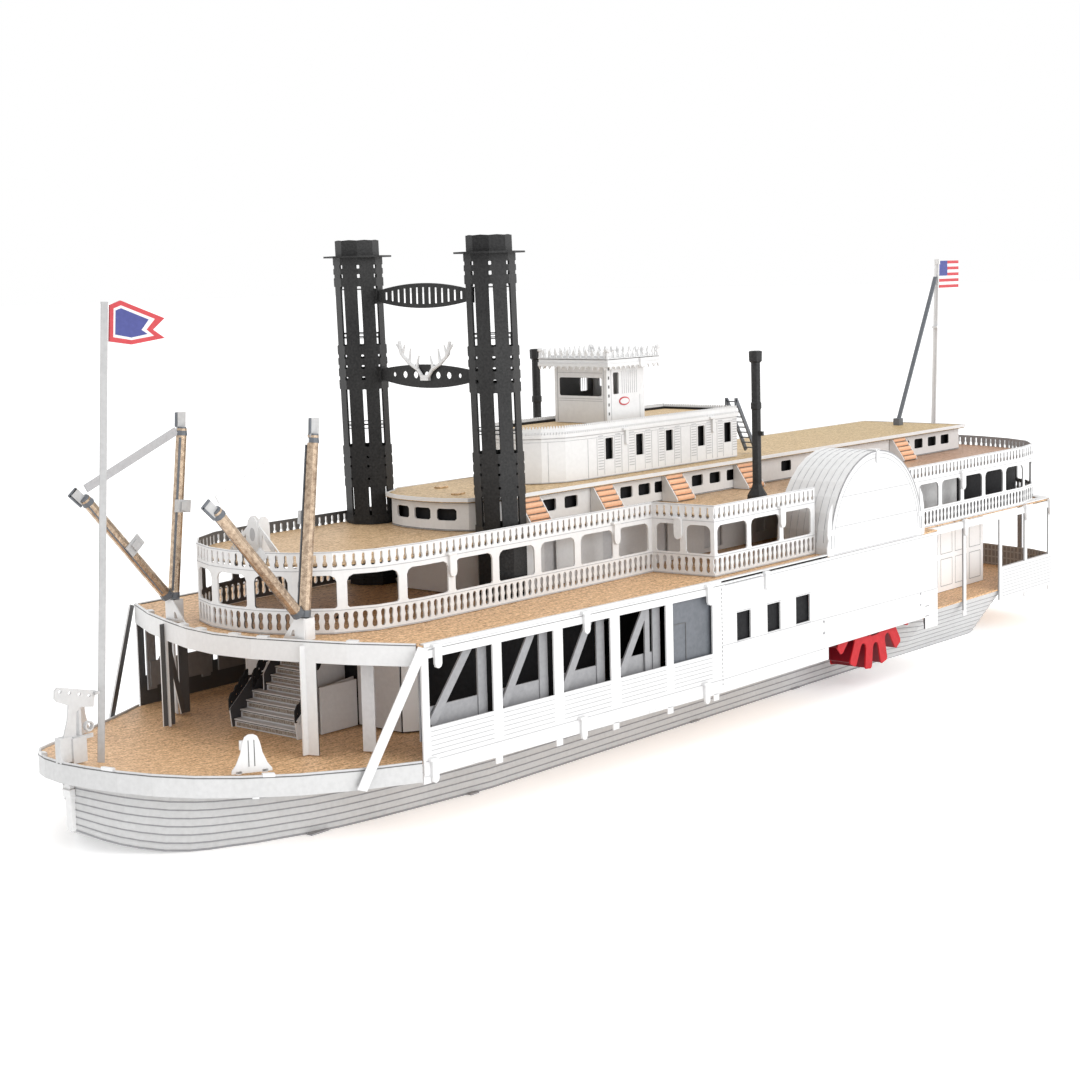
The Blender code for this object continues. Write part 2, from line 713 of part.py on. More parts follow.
def build_paddles(name, hand, mats):
    side = WALL_HALF_BEAM
    # Paddle box: a drum with a face and a back, open below
    arc = 16
    profile = [(BOX_RADIUS, DECK_BOILER - SHEET)]
    for i in range(arc + 1):
        t = math.pi * i / arc
        profile.append((BOX_RADIUS * math.cos(t), BOX_CENTRE_Z + BOX_RADIUS * math.sin(t)))
    profile.append((-BOX_RADIUS, DECK_BOILER - SHEET))
    outer = [(x, z) for x, z in profile]
    inner = []
    for x, z in profile:
        if z < BOX_CENTRE_Z - 0.1:
            inner.append((x * (1 - SHEET / BOX_RADIUS), z))
            continue
        scale = 1 - SHEET / BOX_RADIUS
        inner.append((x * scale, BOX_CENTRE_Z + (z - BOX_CENTRE_Z) * scale))
    bm = bmesh.new()

    def ring(points, y):
        out = []
        for x, z in points:
            out.append(bm.verts.new(((WHEEL_X + x) * MM, hand * y * MM, z * MM)))
        return out

    out_face = ring(outer, side)
    out_back = ring(outer, BOX_INNER_Y)
    in_face = ring(inner, side - SHEET)
    in_back = ring(inner, BOX_INNER_Y + SHEET)
    count = len(outer)
    bm.faces.new(out_face)
    bm.faces.new(out_back)
    bm.faces.new(in_face)
    bm.faces.new(in_back)
    for i in range(count - 1):
        bm.faces.new((out_face[i], out_face[i + 1], out_back[i + 1], out_back[i]))
        bm.faces.new((in_face[i], in_face[i + 1], in_back[i + 1], in_back[i]))
    bm.faces.new((out_face[0], out_back[0], in_back[0], in_face[0]))
    bm.faces.new((out_face[-1], out_back[-1], in_back[-1], in_face[-1]))
    bm.faces.new((out_face[0], out_face[-1], in_face[-1], in_face[0]))
    bm.faces.new((out_back[0], out_back[-1], in_back[-1], in_back[0]))
    bmesh.ops.recalc_face_normals(bm, faces=bm.faces)
    mesh = bpy.data.meshes.new(name + "_paddle_box")
    bm.to_mesh(mesh)
    bm.free()
    place(name + "_paddle_box", mesh, mats["white_sheet"])
    # Shaft stub between the cabin wall and the side wall
    mesh = rod(
        name + "_shaft", (WHEEL_X, hand * (CABIN_HALF_BEAM + GAP), WHEEL_Z),
        (WHEEL_X, hand * (side - SHEET - GAP), WHEEL_Z), SHAFT_RADIUS, 12)
    place(name + "_shaft", mesh, mats["grey_sheet"])
    # Wheel: two cut side plates with broad arms, a board folded at each arm, one hub
    radii = (BORE_RADIUS, 2.6, WHEEL_RING_INNER, WHEEL_RING_OUTER, WHEEL_RADIUS)
    half = WHEEL_WIDTH / 2
    widths = (-half, -half + SHEET, half - SHEET, half)
    slots = 3 * WHEEL_ARMS

    def keep(i, j, k):
        part = i % 3
        if j == 0:
            return True
        if k == 1:
            return part == 1 and j == 3
        return j == 2 or (j == 3 and part < 2) or (j == 1 and part == 1)

    def where(i, j, k):
        pitch = 2 * math.pi / WHEEL_ARMS
        r = radii[j]
        # Arms of one breadth, with the board along one edge
        half_arm = 1.25 / max(r, 8.0)
        board = 0.35 / max(r, 8.0)
        t = WHEEL_TURN + pitch * (i // 3) + (-half_arm, half_arm - board, half_arm)[i % 3]
        return r * math.cos(t), widths[k], r * math.sin(t)

    mesh = cells(
        name + "_paddle_wheel", (slots, len(radii) - 1, 3), keep, where, (True, False, False))
    place(
        name + "_paddle_wheel", mesh, mats["wheel_red"],
        (WHEEL_X, hand * WHEEL_Y, WHEEL_Z))


def funnel_tube(rows):
    """Eight sided tube, with two long slots cut along each fold."""
    slot = 0.34
    levels = [row[0] for row in rows]
    side = 2 * math.sin(math.pi / 8)

    def where(i, j, k):
        r = rows[k][1 + j]
        face = i // 3
        # Across one face: its fold, then the edges of the slots
        f = (0.0, slot / (r * side), 1.0 - slot / (r * side))[i % 3]
        a, b = math.pi / 4 * face, math.pi / 4 * (face + 1)
        x = r * (math.cos(a) * (1 - f) + math.cos(b) * f)
        y = r * (math.sin(a) * (1 - f) + math.sin(b) * f)
        lean = FUNNEL_RAKE * (levels[k] - levels[0]) / (levels[-1] - levels[0])
        return x + lean, y, levels[k]

    def keep(i, j, k):
        middle = (levels[k] + levels[k + 1]) / 2
        cut = 51.8 < middle < 61.8 or 69.3 < middle < 79.5
        # The folds abreast stay whole, where the braces meet them
        return i % 3 == 1 or i in (5, 6, 17, 18) or not cut

    return cells("funnel", (24, 1, len(rows) - 1), keep, where, (True, False, False))


def build_funnels(mats):
    # Level, inner radius, outer radius
    rows = (
        (DECK_HURRICANE + GAP, 3.7, 4.3), (39.6, 3.7, 4.3), (39.6 + 0.2, 3.7, 4.0),
        (51.8, 3.7, 4.0), (61.8, 3.7, 4.0), (69.3, 3.7, 4.0), (79.5, 3.7, 4.0),
        (82.6, 3.7, 4.0), (83.6, 3.7, 6.0), (FUNNEL_TOP, 3.3, 6.0), (84.7, 3.3, 3.6),
        (87.4, 3.3, 3.6),
    )
    mesh = funnel_tube(rows)
    for name, hand in (("port_funnel", 1), ("starboard_funnel", -1)):
        place(name, mesh, mats["black_sheet"], (FUNNEL_X, hand * FUNNEL_Y, 0.0))
    span = FUNNEL_Y - FUNNEL_RADIUS - GAP
    # Brace name, mid height, depth at the middle
    for name, z, depth in (("upper_funnel_brace", 77.7, 4.2), ("lower_funnel_brace", 64.3, 4.4)):
        lean = FUNNEL_RAKE * (z - DECK_HURRICANE) / (87.4 - DECK_HURRICANE)
        half = depth / 2
        outline = (
            (-span, -0.8), (-span * 0.5, -half), (0.0, -half), (span * 0.5, -half),
            (span, -0.8), (span, 0.8), (span * 0.5, half * 0.8), (0.0, half),
            (-span * 0.5, half * 0.8), (-span, 0.8),
        )
        mesh = prism(
            name, outline, SHEET,
            lambda a, b, c, z=z, lean=lean: (FUNNEL_X + lean + c, a, z + b))
        place(name, mesh, mats["black_sheet"])


def build_bow_fittings(mats):
    foot = DECK_MAIN + GAP + rise(127.0)
    mesh = rod("jackstaff", (126.3, 0.0, foot + 0.05), (121.8, 0.0, 78.5), 0.6, 6)
    place("jackstaff", mesh, mats["white_sheet"])
    outline = (
        (120.9, 72.8), (120.5, 78.0), (118.6, 78.6), (110.8, 75.8), (113.0, 74.2),
        (110.9, 72.9), (117.0, 72.2),
    )
    mesh = prism("burgee", outline, SHEET, lambda a, b, c: (a, c, b))
    place("burgee", mesh, mats["flag_red"])
    foot = DECK_MAIN + GAP + rise(131.4) + 0.05
    outline = (
        (128.9, foot), (131.4, foot), (131.6, 17.0), (131.8, 21.3), (134.2, 21.8), (134.2, 24.4),
        (126.7, 23.1), (126.7, 20.6), (129.4, 20.9), (128.9, 18.6),
    )
    mesh = prism("bow_bitts", outline, 0.6, lambda a, b, c: (a, c, b))
    place("bow_bitts", mesh, mats["white_sheet"])
    for name, hand in (("port_kevel", 1), ("starboard_kevel", -1)):
        outline = ((-2.9, 0.0), (2.9, 0.0), (0.9, 5.2), (-0.9, 5.2))
        base = DECK_MAIN + 0.4 + rise(115.5)
        mesh = prism(
            name, outline, SHEET,
            lambda a, b, c, h=hand, z=base: (114.6 + a * 0.86 + c * 0.5,
                                             h * (19.9 - a * 0.5 + c * 0.86), z + b))
        place(name, mesh, mats["white_sheet"])


def build_derricks(mats):
    for name, hand in (("port", 1), ("starboard", -1)):
        y = hand * 15.2
        base = (99.2, y, 31.2)
        top = (95.8, y, 60.2)
        tip = (116.0, y, 49.6)
        mesh = block(name + "_derrick_foot", 98.0, 100.2, y - 0.9, y + 0.9, DECK_BOILER + GAP, 31.0)
        place(name + "_derrick_foot", mesh, mats["white_sheet"])
        mesh = rod(name + "_derrick_mast", base, top, 0.6, 8, 0.45)
        place(name + "_derrick_mast", mesh, mats["copper_spar"])
        mesh = rod(name + "_derrick_boom", (100.4, y, 31.6), tip, 0.6, 8, 0.45)
        place(name + "_derrick_boom", mesh, mats["copper_spar"])
        mesh = strip(
            name + "_derrick_stay", (97.2, y, 57.6), (115.0, y, 48.6 + 1.6), 1.3, SHEET,
            (0.5, 0.0, 0.85))
        place(name + "_derrick_stay", mesh, mats["white_sheet"])


def build_top_fittings(mats):
    mesh = tube(
        "steam_pipe", ((0.5, 1.9), (0.5, 1.1), (0.5, 0.9), (0.5, 0.9), (0.5, 1.2), (0.5, 1.2)),
        (DECK_HURRICANE + GAP, 40.6, 41.2, 63.6, 63.8, 65.8), 8)
    place("port_steam_pipe", mesh, mats["black_sheet"], (-4.0, 26.5, 0.0))
    place("starboard_steam_pipe", mesh, mats["black_sheet"], (-4.0, -26.5, 0.0))
    mesh = rod("ensign_staff", (-117.9, 0.0, DECK_HURRICANE + GAP), (-120.3, 0.0, 81.8), 0.5, 6)
    place("ensign_staff", mesh, mats["white_sheet"])
    outline = ((-120.9, 75.0), (-120.9, 81.4), (-130.3, 81.4), (-130.3, 75.0))
    mesh = prism("ensign", outline, SHEET, lambda a, b, c: (a, c, b))
    place("ensign", mesh, mats["flag_blue"])
    mesh = strip(
        "ensign_stay", (-119.3, 0.0, 77.6), (-101.4, 0.0, 44.6), 0.6, SHEET, (0.0, 1.0, 0.0))
    place("ensign_stay", mesh, mats["grey_sheet"])


def main():
    clear_scene()
    mats = make_materials()
    build_hull(mats)
    build_main_deck(mats)
    build_guards(mats)
    build_side_wall("port_side_wall", 1, mats)
    build_side_wall("starboard_side_wall", -1, mats)
    build_main_cabin(mats)
    build_boiler_deck(mats)
    build_bow_gallery(mats)
    build_grand_stair(mats)
    build_saloon(mats)
    build_arcades(mats)
    build_stern_gallery(mats)
    build_hurricane_deck(mats)
    build_houses(mats)
    build_paddles("port", 1, mats)
    build_paddles("starboard", -1, mats)
    build_funnels(mats)
    build_bow_fittings(mats)
    build_derricks(mats)
    build_top_fittings(mats)


main()
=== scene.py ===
import math
import bpy
import bmesh
from mathutils import Matrix, Vector


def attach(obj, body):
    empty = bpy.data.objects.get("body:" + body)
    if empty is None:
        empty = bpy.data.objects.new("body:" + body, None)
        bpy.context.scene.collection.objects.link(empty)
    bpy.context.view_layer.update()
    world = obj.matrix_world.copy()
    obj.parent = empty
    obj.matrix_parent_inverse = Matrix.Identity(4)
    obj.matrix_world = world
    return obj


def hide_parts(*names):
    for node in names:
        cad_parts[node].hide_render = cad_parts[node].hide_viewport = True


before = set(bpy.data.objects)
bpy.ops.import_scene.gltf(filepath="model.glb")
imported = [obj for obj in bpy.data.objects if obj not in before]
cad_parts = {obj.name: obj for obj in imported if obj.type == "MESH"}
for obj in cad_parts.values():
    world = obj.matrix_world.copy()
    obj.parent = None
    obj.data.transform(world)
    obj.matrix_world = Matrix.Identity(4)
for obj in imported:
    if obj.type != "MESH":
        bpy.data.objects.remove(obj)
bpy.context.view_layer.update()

# Lengths below are in millimetres, with X as in the part's source
MM = 0.001
X_SHIFT = -1.95
SHEET = 0.3
DECK_MAIN = 10.3
DECK_BOILER = 27.5
DECK_HURRICANE = 38.2
WALL_HALF_BEAM = 36.4
WHEEL_X = -30.1
WHEEL_Y = 31.3
WHEEL_Z = 20.4
WHEEL_TURN = math.radians(-4.0)
BOX_RADIUS = 17.0
BOX_CENTRE_Z = 28.6
BOX_INNER_Y = 24.6
FUNNEL_X = 54.7
FUNNEL_Y = 15.3
FUNNEL_RAKE = 1.3
FUNNEL_TOP = 87.4

# Plans of the port half, from aft to the bow
GUARD_BOW = [
    (93.5, 33.1), (101.9, 28.9), (109.7, 24.7), (116.9, 20.5), (122.6, 16.9),
    (127.0, 13.2), (130.0, 9.2), (132.0, 4.8), (133.0, 0.0)]
GALLERY_BOW = [(93.6, 32.6), (98.2, 23.0), (100.8, 15.5), (103.2, 7.5), (104.1, 0.0)]
ARCADE_FORE = [
    (-12.8, 33.3), (19.5, 33.3), (20.3, 20.4), (79.0, 20.2), (87.5, 18.9),
    (93.6, 15.6), (97.6, 11.0), (99.8, 5.5), (100.4, 0.0)]
SIDE_WALL = [(93.1, 33.12), (22.0, 36.4), (-53.5, 36.4)]
STERN = [(-53.7, 33.3), (-112.0, 33.0), (-115.6, 26.5), (-118.4, 14.0), (-119.6, 0.0)]
STERN_ARCADE = [
    (-47.6, 33.3), (-98.0, 33.1), (-105.5, 31.6), (-111.5, 27.4), (-115.4, 21.0),
    (-118.2, 12.5), (-119.6, 0.0)]
LOW_HOUSE = [(-108.0, 12.0), (51.5, 12.0), (55.8, 9.0), (57.3, 5.0), (57.8, 0.0)]
TEXAS = [(-23.0, 9.0), (24.0, 9.0), (29.4, 8.4), (33.4, 6.2), (36.0, 3.2), (37.0, 0.0)]
PILOT = [(3.2, 6.2), (14.5, 6.2), (14.5, 0.0)]


def rise(x):
    """Lift of the deck line towards the bow."""
    return 3.5 * (max(0.0, x - 94.0) / 39.0) ** 2.5


def forefoot(x):
    """Lift of the hull's bottom towards the bow."""
    return 3.5 * (max(0.0, x - 116.0) / 15.0) ** 3


def funnel_lean(z):
    """How far the raked funnels have gone forward at height z."""
    return FUNNEL_RAKE * (z - DECK_HURRICANE) / (FUNNEL_TOP - DECK_HURRICANE)


def around_bow(half):
    """Whole path, starboard aft to bow to port aft."""
    return [(x, -y) for x, y in half] + [p for p in reversed(half) if p[1] > 0.001]


def around_stern(half):
    """Whole path, port forward to stern to starboard forward."""
    return list(half) + [(x, -y) for x, y in reversed(half) if y > 0.001]


def all_round(half):
    """Closed path of a house, from its aft starboard corner."""
    whole = around_bow(half)
    return whole + whole[:1]


def marks_of(path):
    """Length along the path to each of its corners."""
    marks = [0.0]
    for a, b in zip(path, path[1:]):
        marks.append(marks[-1] + math.dist(a, b))
    return marks


def pairs(middle, *aways):
    """Marks at equal distances to both sides of the middle."""
    return [middle + side * away for away in aways for side in (-1, 1)]


def side_marks(plan, x):
    """Marks of station x on both sides of a house, starboard first."""
    half = (marks_of(all_round(plan))[-1] - 2 * plan[0][1]) / 2
    return pairs(half, half - (x - plan[0][0]))


def reach(path, x):
    """Length along the path to station x."""
    marks = marks_of(path)
    for i, (a, b) in enumerate(zip(path, path[1:])):
        if min(a[0], b[0]) - 0.001 <= x <= max(a[0], b[0]) + 0.001 and abs(a[0] - b[0]) > 0.001:
            return marks[i] + (x - a[0]) / (b[0] - a[0]) * (marks[i + 1] - marks[i])
    return marks[-1]


# Finishes

GLOSS_NAMES = {"metal": "Metallic", "specular": "Specular IOR Level", "glow": "Emission Strength"}


def feed(paint, node, feeds):
    """Sets each named input of a node to its value, or links it to the given output."""
    for key, value in feeds.items():
        if isinstance(value, bpy.types.NodeSocket):
            paint.node_tree.links.new(value, node.inputs[key])
        else:
            node.inputs[key].default_value = value


def patch(paint, kind, feeds, give=0, **settings):
    """Adds a node to the paint and gives back one of its outputs."""
    node = paint.node_tree.nodes.new("ShaderNode" + kind)
    for key, value in settings.items():
        setattr(node, key, value)
    feed(paint, node, feeds)
    return node.outputs[give]


def maths(paint, operation, *values):
    return patch(paint, "Math", dict(enumerate(values)), operation=operation)


def mixed(paint, share, under, over, **settings):
    feeds = {"Factor": share, "A": under, "B": over}
    return patch(paint, "Mix", feeds, "Result", data_type="RGBA", **settings)


def new_paint(name):
    paint = bpy.data.materials.new(name)
    paint.use_nodes = True
    shader = paint.node_tree.nodes["Principled BSDF"]
    return paint, shader, patch(paint, "TexCoord", {}, "Object")


def grey(tone):
    return (tone, tone, tone)


def painted_steel(
        name, slot, colour, shade, rough=0.42, grain=1400.0, bump=0.12, back=None, **gloss):
    """Matt printed coat on thin steel: fine grain, faint cloudiness, uneven gloss.

    A sheet with a back colour is bare and dark on the side that faces the boat's middle; the dark
    is painted shade.
    """
    paint, shader, place = new_paint(name)
    fine = patch(paint, "TexNoise", {"Vector": place, "Scale": grain, "Detail": 4.0})
    cloud = patch(paint, "TexNoise", {"Vector": place, "Scale": 45.0})
    both = maths(paint, "MULTIPLY_ADD", fine, 0.5, maths(paint, "MULTIPLY", cloud, 0.5))
    share = patch(paint, "MapRange", {"Value": both, "From Min": 0.35, "From Max": 0.75})
    coat = mixed(paint, share, (*colour, 1.0), (*shade, 1.0))
    # Faces turned towards the boat's middle take the back colour: bare back, darkened as painted
    # shade
    if back:
        facing = patch(paint, "NewGeometry", {}, "Normal")
        outward = patch(paint, "Mapping", {
            "Vector": place, "Location": (0.022, 0.0, 0.0), "Scale": (1.0, 1.0, 0.0)})
        along = patch(
            paint, "VectorMath", {0: outward, 1: facing}, "Value", operation="DOT_PRODUCT")
        coat = mixed(paint, maths(paint, "LESS_THAN", along, -0.0004), coat, (*back, 1.0))
    uneven = patch(paint, "MapRange", {
        "Value": fine, "To Min": rough - 0.08, "To Max": rough + 0.08})
    dent = patch(
        paint, "Bump", {"Strength": bump, "Distance": 0.00005, "Height": fine}, "Normal")
    feed(paint, shader, {"Base Color": coat, "Roughness": uneven, "Normal": dent})
    feed(paint, shader, {GLOSS_NAMES[key]: value for key, value in gloss.items()})
    return paint


def wood_print(name, light, mid, dark, plank=2.2, seam=0.35, aft=(1.0, 1.0, 1.0)):
    """Printed planking: speckle along X, seams across Y, another tint towards the stern."""
    paint, shader, place = new_paint(name)
    drawn_out = patch(paint, "Mapping", {"Vector": place, "Scale": (700.0, 3600.0, 3600.0)})
    grain = patch(paint, "TexNoise", {
        "Vector": drawn_out, "Scale": 1.0, "Detail": 5.0, "Roughness": 0.7})
    speck = patch(paint, "TexNoise", {"Vector": place, "Scale": 3000.0, "Detail": 2.0})
    both = maths(paint, "MULTIPLY_ADD", grain, 0.55, maths(paint, "MULTIPLY", speck, 0.45))
    tone = patch(paint, "ValToRGB", {"Fac": both}, "Color")
    stops = tone.node.color_ramp.elements
    stops[0].position, stops[0].color = 0.38, (*dark, 1.0)
    stops[1].position, stops[1].color = 0.62, (*light, 1.0)
    stops.new(0.5).color = (*mid, 1.0)
    apart = patch(paint, "SeparateXYZ", {0: place}).node.outputs
    # A dark seam at every plank's edge
    across = maths(paint, "FRACT", maths(paint, "MULTIPLY", apart["Y"], 1000.0 / plank))
    edge = maths(paint, "MULTIPLY", maths(paint, "LESS_THAN", across, 0.09), seam)
    planked = mixed(paint, edge, tone, (*[c * 0.4 for c in dark], 1.0))
    aftness = patch(paint, "MapRange", {"Value": apart["X"], "From Min": 0.01, "From Max": -0.09})
    toned = mixed(paint, aftness, planked, (*aft, 1.0), blend_type="MULTIPLY")
    dent = patch(
        paint, "Bump", {"Strength": 0.25, "Distance": 0.00006, "Height": both}, "Normal")
    feed(paint, shader, {"Base Color": toned, "Normal": dent, "Roughness": 0.5})
    return paint


WHITE = painted_steel("white_print", "white_sheet", grey(0.74), grey(0.66), 0.4)
# Copies of the white print whose bare backs are darkened as painted shade, less so at the stern
SHEET_WHITE = painted_steel(
    "white_print_shaded_bare_back", "white_sheet", grey(0.74), grey(0.66), 0.4, back=(0.09, 0.09, 0.092))
STERN_SHEET = painted_steel(
    "white_print_shaded_grey_back", "white_sheet", grey(0.74), grey(0.66), 0.4, back=(0.26, 0.26, 0.265))
# White print made brighter as painted light, for walls that stand in shade under the decks
PAINTED_LIGHT_WHITE = painted_steel("white_print_painted_light", "white_sheet", grey(0.95), grey(0.90), 0.45)
# White print made darker as painted shade, for the staff, derrick clips and the wall and lattice
# aft
PAINTED_SHADE_WHITE = painted_steel("white_print_painted_shade", "white_sheet", grey(0.50), grey(0.38), 0.4)
# Grey print of the hull; on the white bow guard and bitts this grey is painted shade
HULL_GREY_AND_BOW_SHADE = painted_steel("hull_grey_print_and_bow_shade", "white_sheet", grey(0.58), grey(0.48), 0.45)
# Grey print of the stair cheeks, its back darkened as painted shade
CHEEK = painted_steel(
    "cheek_grey_print_shaded_back", "grey_sheet", (0.72, 0.72, 0.73), (0.62, 0.62, 0.63), 0.45,
    back=(0.05, 0.05, 0.055))
STAIR = painted_steel(
    "stair_grey_print", "grey_sheet", (0.66, 0.66, 0.67), (0.54, 0.54, 0.55), 0.45)
# Dark grey of inner parts, also painted shadow under the hull's plank edges
SHADOW_GREY = painted_steel(
    "inner_grey_print_and_painted_shadow", "grey_sheet", (0.30, 0.30, 0.31), (0.22, 0.22, 0.23), 0.5)
CASING = painted_steel(
    "casing_grey_print", "grey_sheet", (0.13, 0.14, 0.16), (0.08, 0.09, 0.10), 0.45)
# Near black; behind windows, inside the cabin, round the stern inside and under the stair treads
# it is painted shade
DARK = painted_steel(
    "near_black_and_painted_shade", "grey_sheet", (0.022, 0.022, 0.024), (0.010, 0.010, 0.011), 0.6,
    specular=0.12)
ETCHED = painted_steel("etched_line", "grey_sheet", grey(0.13), grey(0.08), 0.6)
FAINT = painted_steel(
    "faint_etched_line_and_stay_shade", "grey_sheet", (0.45, 0.45, 0.46), (0.36, 0.36, 0.37), 0.6)
BLACK = painted_steel(
    "black_print", "black_sheet", (0.004, 0.004, 0.0045), grey(0.040), 0.5, grain=2600.0,
    bump=0.6, specular=0.3)
COPPER = painted_steel(
    "copper_wire", "copper_spar", (0.78, 0.62, 0.46), (0.13, 0.075, 0.045), 0.26, grain=1500.0,
    bump=0.8, metal=0.8)
RED = painted_steel(
    "wheel_red_print", "wheel_red", (0.52, 0.010, 0.018), (0.36, 0.006, 0.010), 0.5,
    specular=0.25)
# Wheel red darkened as painted shade, for the boards between the side plates
RED_SHADE = painted_steel(
    "wheel_red_painted_shade", "wheel_red", (0.22, 0.004, 0.012), (0.13, 0.002, 0.008), 0.4)
FLAG_RED = painted_steel(
    "flag_red_print", "flag_red", (0.55, 0.05, 0.06), (0.42, 0.03, 0.04), 0.4)
FLAG_BLUE = painted_steel(
    "flag_blue_print", "flag_blue", (0.055, 0.065, 0.26), (0.03, 0.04, 0.18), 0.4)
DECK = wood_print(
    "deck_wood_print", (0.92, 0.62, 0.37), (0.66, 0.41, 0.21), (0.23, 0.11, 0.045))
ROOF = wood_print(
    "roof_wood_print", (0.76, 0.55, 0.34), (0.58, 0.39, 0.21), (0.25, 0.14, 0.06),
    1.1, 0.5, (0.76, 0.68, 0.80))
LOW_ROOF = wood_print(
    "low_roof_wood_print", (0.74, 0.55, 0.32), (0.58, 0.40, 0.20),
    (0.27, 0.16, 0.06), 1.1, 0.4, (0.86, 0.88, 0.80))
TREAD = painted_steel(
    "tread_wood_print", "roof_tan", (0.88, 0.53, 0.33), (0.70, 0.40, 0.24), 0.5, grain=2200.0,
    bump=0.4)
# Brown inlay print of the grand stair, also painted shade in the gaps under the roof steps
INLAY_AND_GAP_SHADE = wood_print(
    "stair_inlay_print_and_gap_shade", (0.42, 0.38, 0.33), (0.30, 0.26, 0.22),
    (0.16, 0.13, 0.11))


# Sheet metal work, flat first in u along and v up, w out of the sheet

def blanks(count):
    return [bmesh.new() for _ in range(count)]


def verts_in(made):
    return [part for part in made["geom"] if isinstance(part, bmesh.types.BMVert)]


def all_of(bm):
    return bm.verts[:] + bm.edges[:] + bm.faces[:]


def oblong(u0, v0, u1, v1):
    return [(u0, v0), (u1, v0), (u1, v1), (u0, v1)]


def ellipse(u, v, wide, high, count):
    turns = [2 * math.pi * k / count for k in range(count)]
    return [(u + wide * math.cos(t), v + high * math.sin(t)) for t in turns]


def plate(outline, *cutouts):
    """Flat sheet cut to its outline and cutouts."""
    bm = bmesh.new()
    rims = []
    for loop in (outline,) + cutouts:
        ring = [bm.verts.new((u, v, 0.0)) for u, v in loop]
        rims += [bm.edges.new(pair) for pair in zip(ring, ring[1:] + ring[:1])]
    bmesh.ops.triangle_fill(bm, use_beauty=True, use_dissolve=False, edges=rims, normal=(0, 0, 1))
    bm.normal_update()
    bmesh.ops.reverse_faces(bm, faces=[f for f in bm.faces if f.normal.z < 0])
    return bm


def row(cell, count, pitch):
    """Repeats one cut cell side by side and joins the edges that meet."""
    first = all_of(cell)
    for i in range(1, count):
        moved = verts_in(bmesh.ops.duplicate(cell, geom=first))
        bmesh.ops.translate(cell, vec=(pitch * i, 0.0, 0.0), verts=moved)
    bmesh.ops.remove_doubles(cell, verts=cell.verts, dist=0.0005)
    return cell


def shift(bm, u=0.0, v=0.0, w=0.0):
    bmesh.ops.translate(bm, vec=(u, v, w), verts=bm.verts)
    return bm


def thicken(bm, depth=SHEET, out=0.0, way=(0.0, 0.0, -1.0)):
    """Gives a flat sheet its depth, from out down to out less depth."""
    made = bmesh.ops.extrude_face_region(bm, geom=bm.faces[:], use_keep_orig=True)
    bmesh.ops.translate(bm, vec=Vector(way) * depth, verts=verts_in(made))
    bmesh.ops.recalc_face_normals(bm, faces=bm.faces)
    return shift(bm, w=out)


def add(bm, part, turn=None):
    """Lays one worked piece into another."""
    if turn is not None:
        bmesh.ops.transform(part, matrix=turn, verts=part.verts)
        if turn.determinant() < 0:
            bmesh.ops.reverse_faces(part, faces=part.faces)
    mesh = bpy.data.meshes.new("offcut")
    part.to_mesh(mesh)
    part.free()
    bm.from_mesh(mesh)
    bpy.data.meshes.remove(mesh)
    return bm


def laid(bm, turn):
    """The worked piece in its place."""
    return add(bmesh.new(), bm, turn)


def bar(bm, start, end, across, wide, thick):
    """Flat bar between two points, its width along the across direction."""
    start, end, across = Vector(start), Vector(end), Vector(across)
    run = end - start
    side = (across - run * (across.dot(run) / run.length_squared)).normalized()
    up = run.normalized().cross(side)
    frame_of = Matrix((run, side * wide, up * thick)).transposed().to_4x4()
    frame_of.translation = (start + end) / 2
    bmesh.ops.create_cube(bm, size=1.0, matrix=frame_of)
    return bm


def block(bm, low, high):
    low, high = Vector(low), Vector(high)
    size = Matrix.Diagonal((high - low).to_4d())
    size[3][3] = 1.0
    bmesh.ops.create_cube(bm, size=1.0, matrix=Matrix.Translation((low + high) / 2) @ size)
    return bm


def score(bm, u0, v0, u1, v1, wide=0.12, proud=0.04):
    """Etched line on a flat sheet."""
    return bar(bm, (u0, v0, 0.0), (u1, v1, 0.0), (v0 - v1, u1 - u0, 0.0), wide, proud * 2)


def rule(bm, v, total, wide, inset=0.1):
    """Etched line along a whole sheet at height v."""
    return score(bm, inset, v, total - inset, v, wide)


def strip(bm, total, v, w, high, thick=0.3):
    """Flat strip on edge along a whole path, its middle at height v."""
    return bar(bm, (0.0, v, w), (total, v, w), (0, 1, 0), high, thick)


def rod(bm, start, end, radius, end_radius=None, sides=12):
    start, end = Vector(start), Vector(end)
    run = end - start
    turn = Vector((0, 0, 1)).rotation_difference(run).to_matrix().to_4x4()
    turn.translation = (start + end) / 2
    bmesh.ops.create_cone(
        bm, cap_ends=True, cap_tris=False, segments=sides, radius1=radius,
        radius2=radius if end_radius is None else end_radius, depth=run.length, matrix=turn)
    return bm


def tongue(bm, u, v, drop, wide=1.0, proud=0.34, curl=0.0):
    """Fixing tab folded flat on the sheet, round at its tip, with a curl at its root."""
    h = wide / 2
    tip = plate([
        (u - h, v + 0.25), (u - h, v - drop + h), (u - h * 0.7, v - drop + h * 0.3), (u, v - drop),
        (u + h * 0.7, v - drop + h * 0.3), (u + h, v - drop + h), (u + h, v + 0.25)])
    add(bm, thicken(tip, proud, proud))
    if curl:
        block(bm, (u - h - curl, v + 0.1, 0.0), (u + h * 0.6, v + 0.5, proud + 0.2))
    return bm


def skirt_foot(bm, u, half):
    """Foot of the siding, below the skirt."""
    return block(bm, (u - half, 6.95, -0.3), (u + half, 8.2, 0.0))


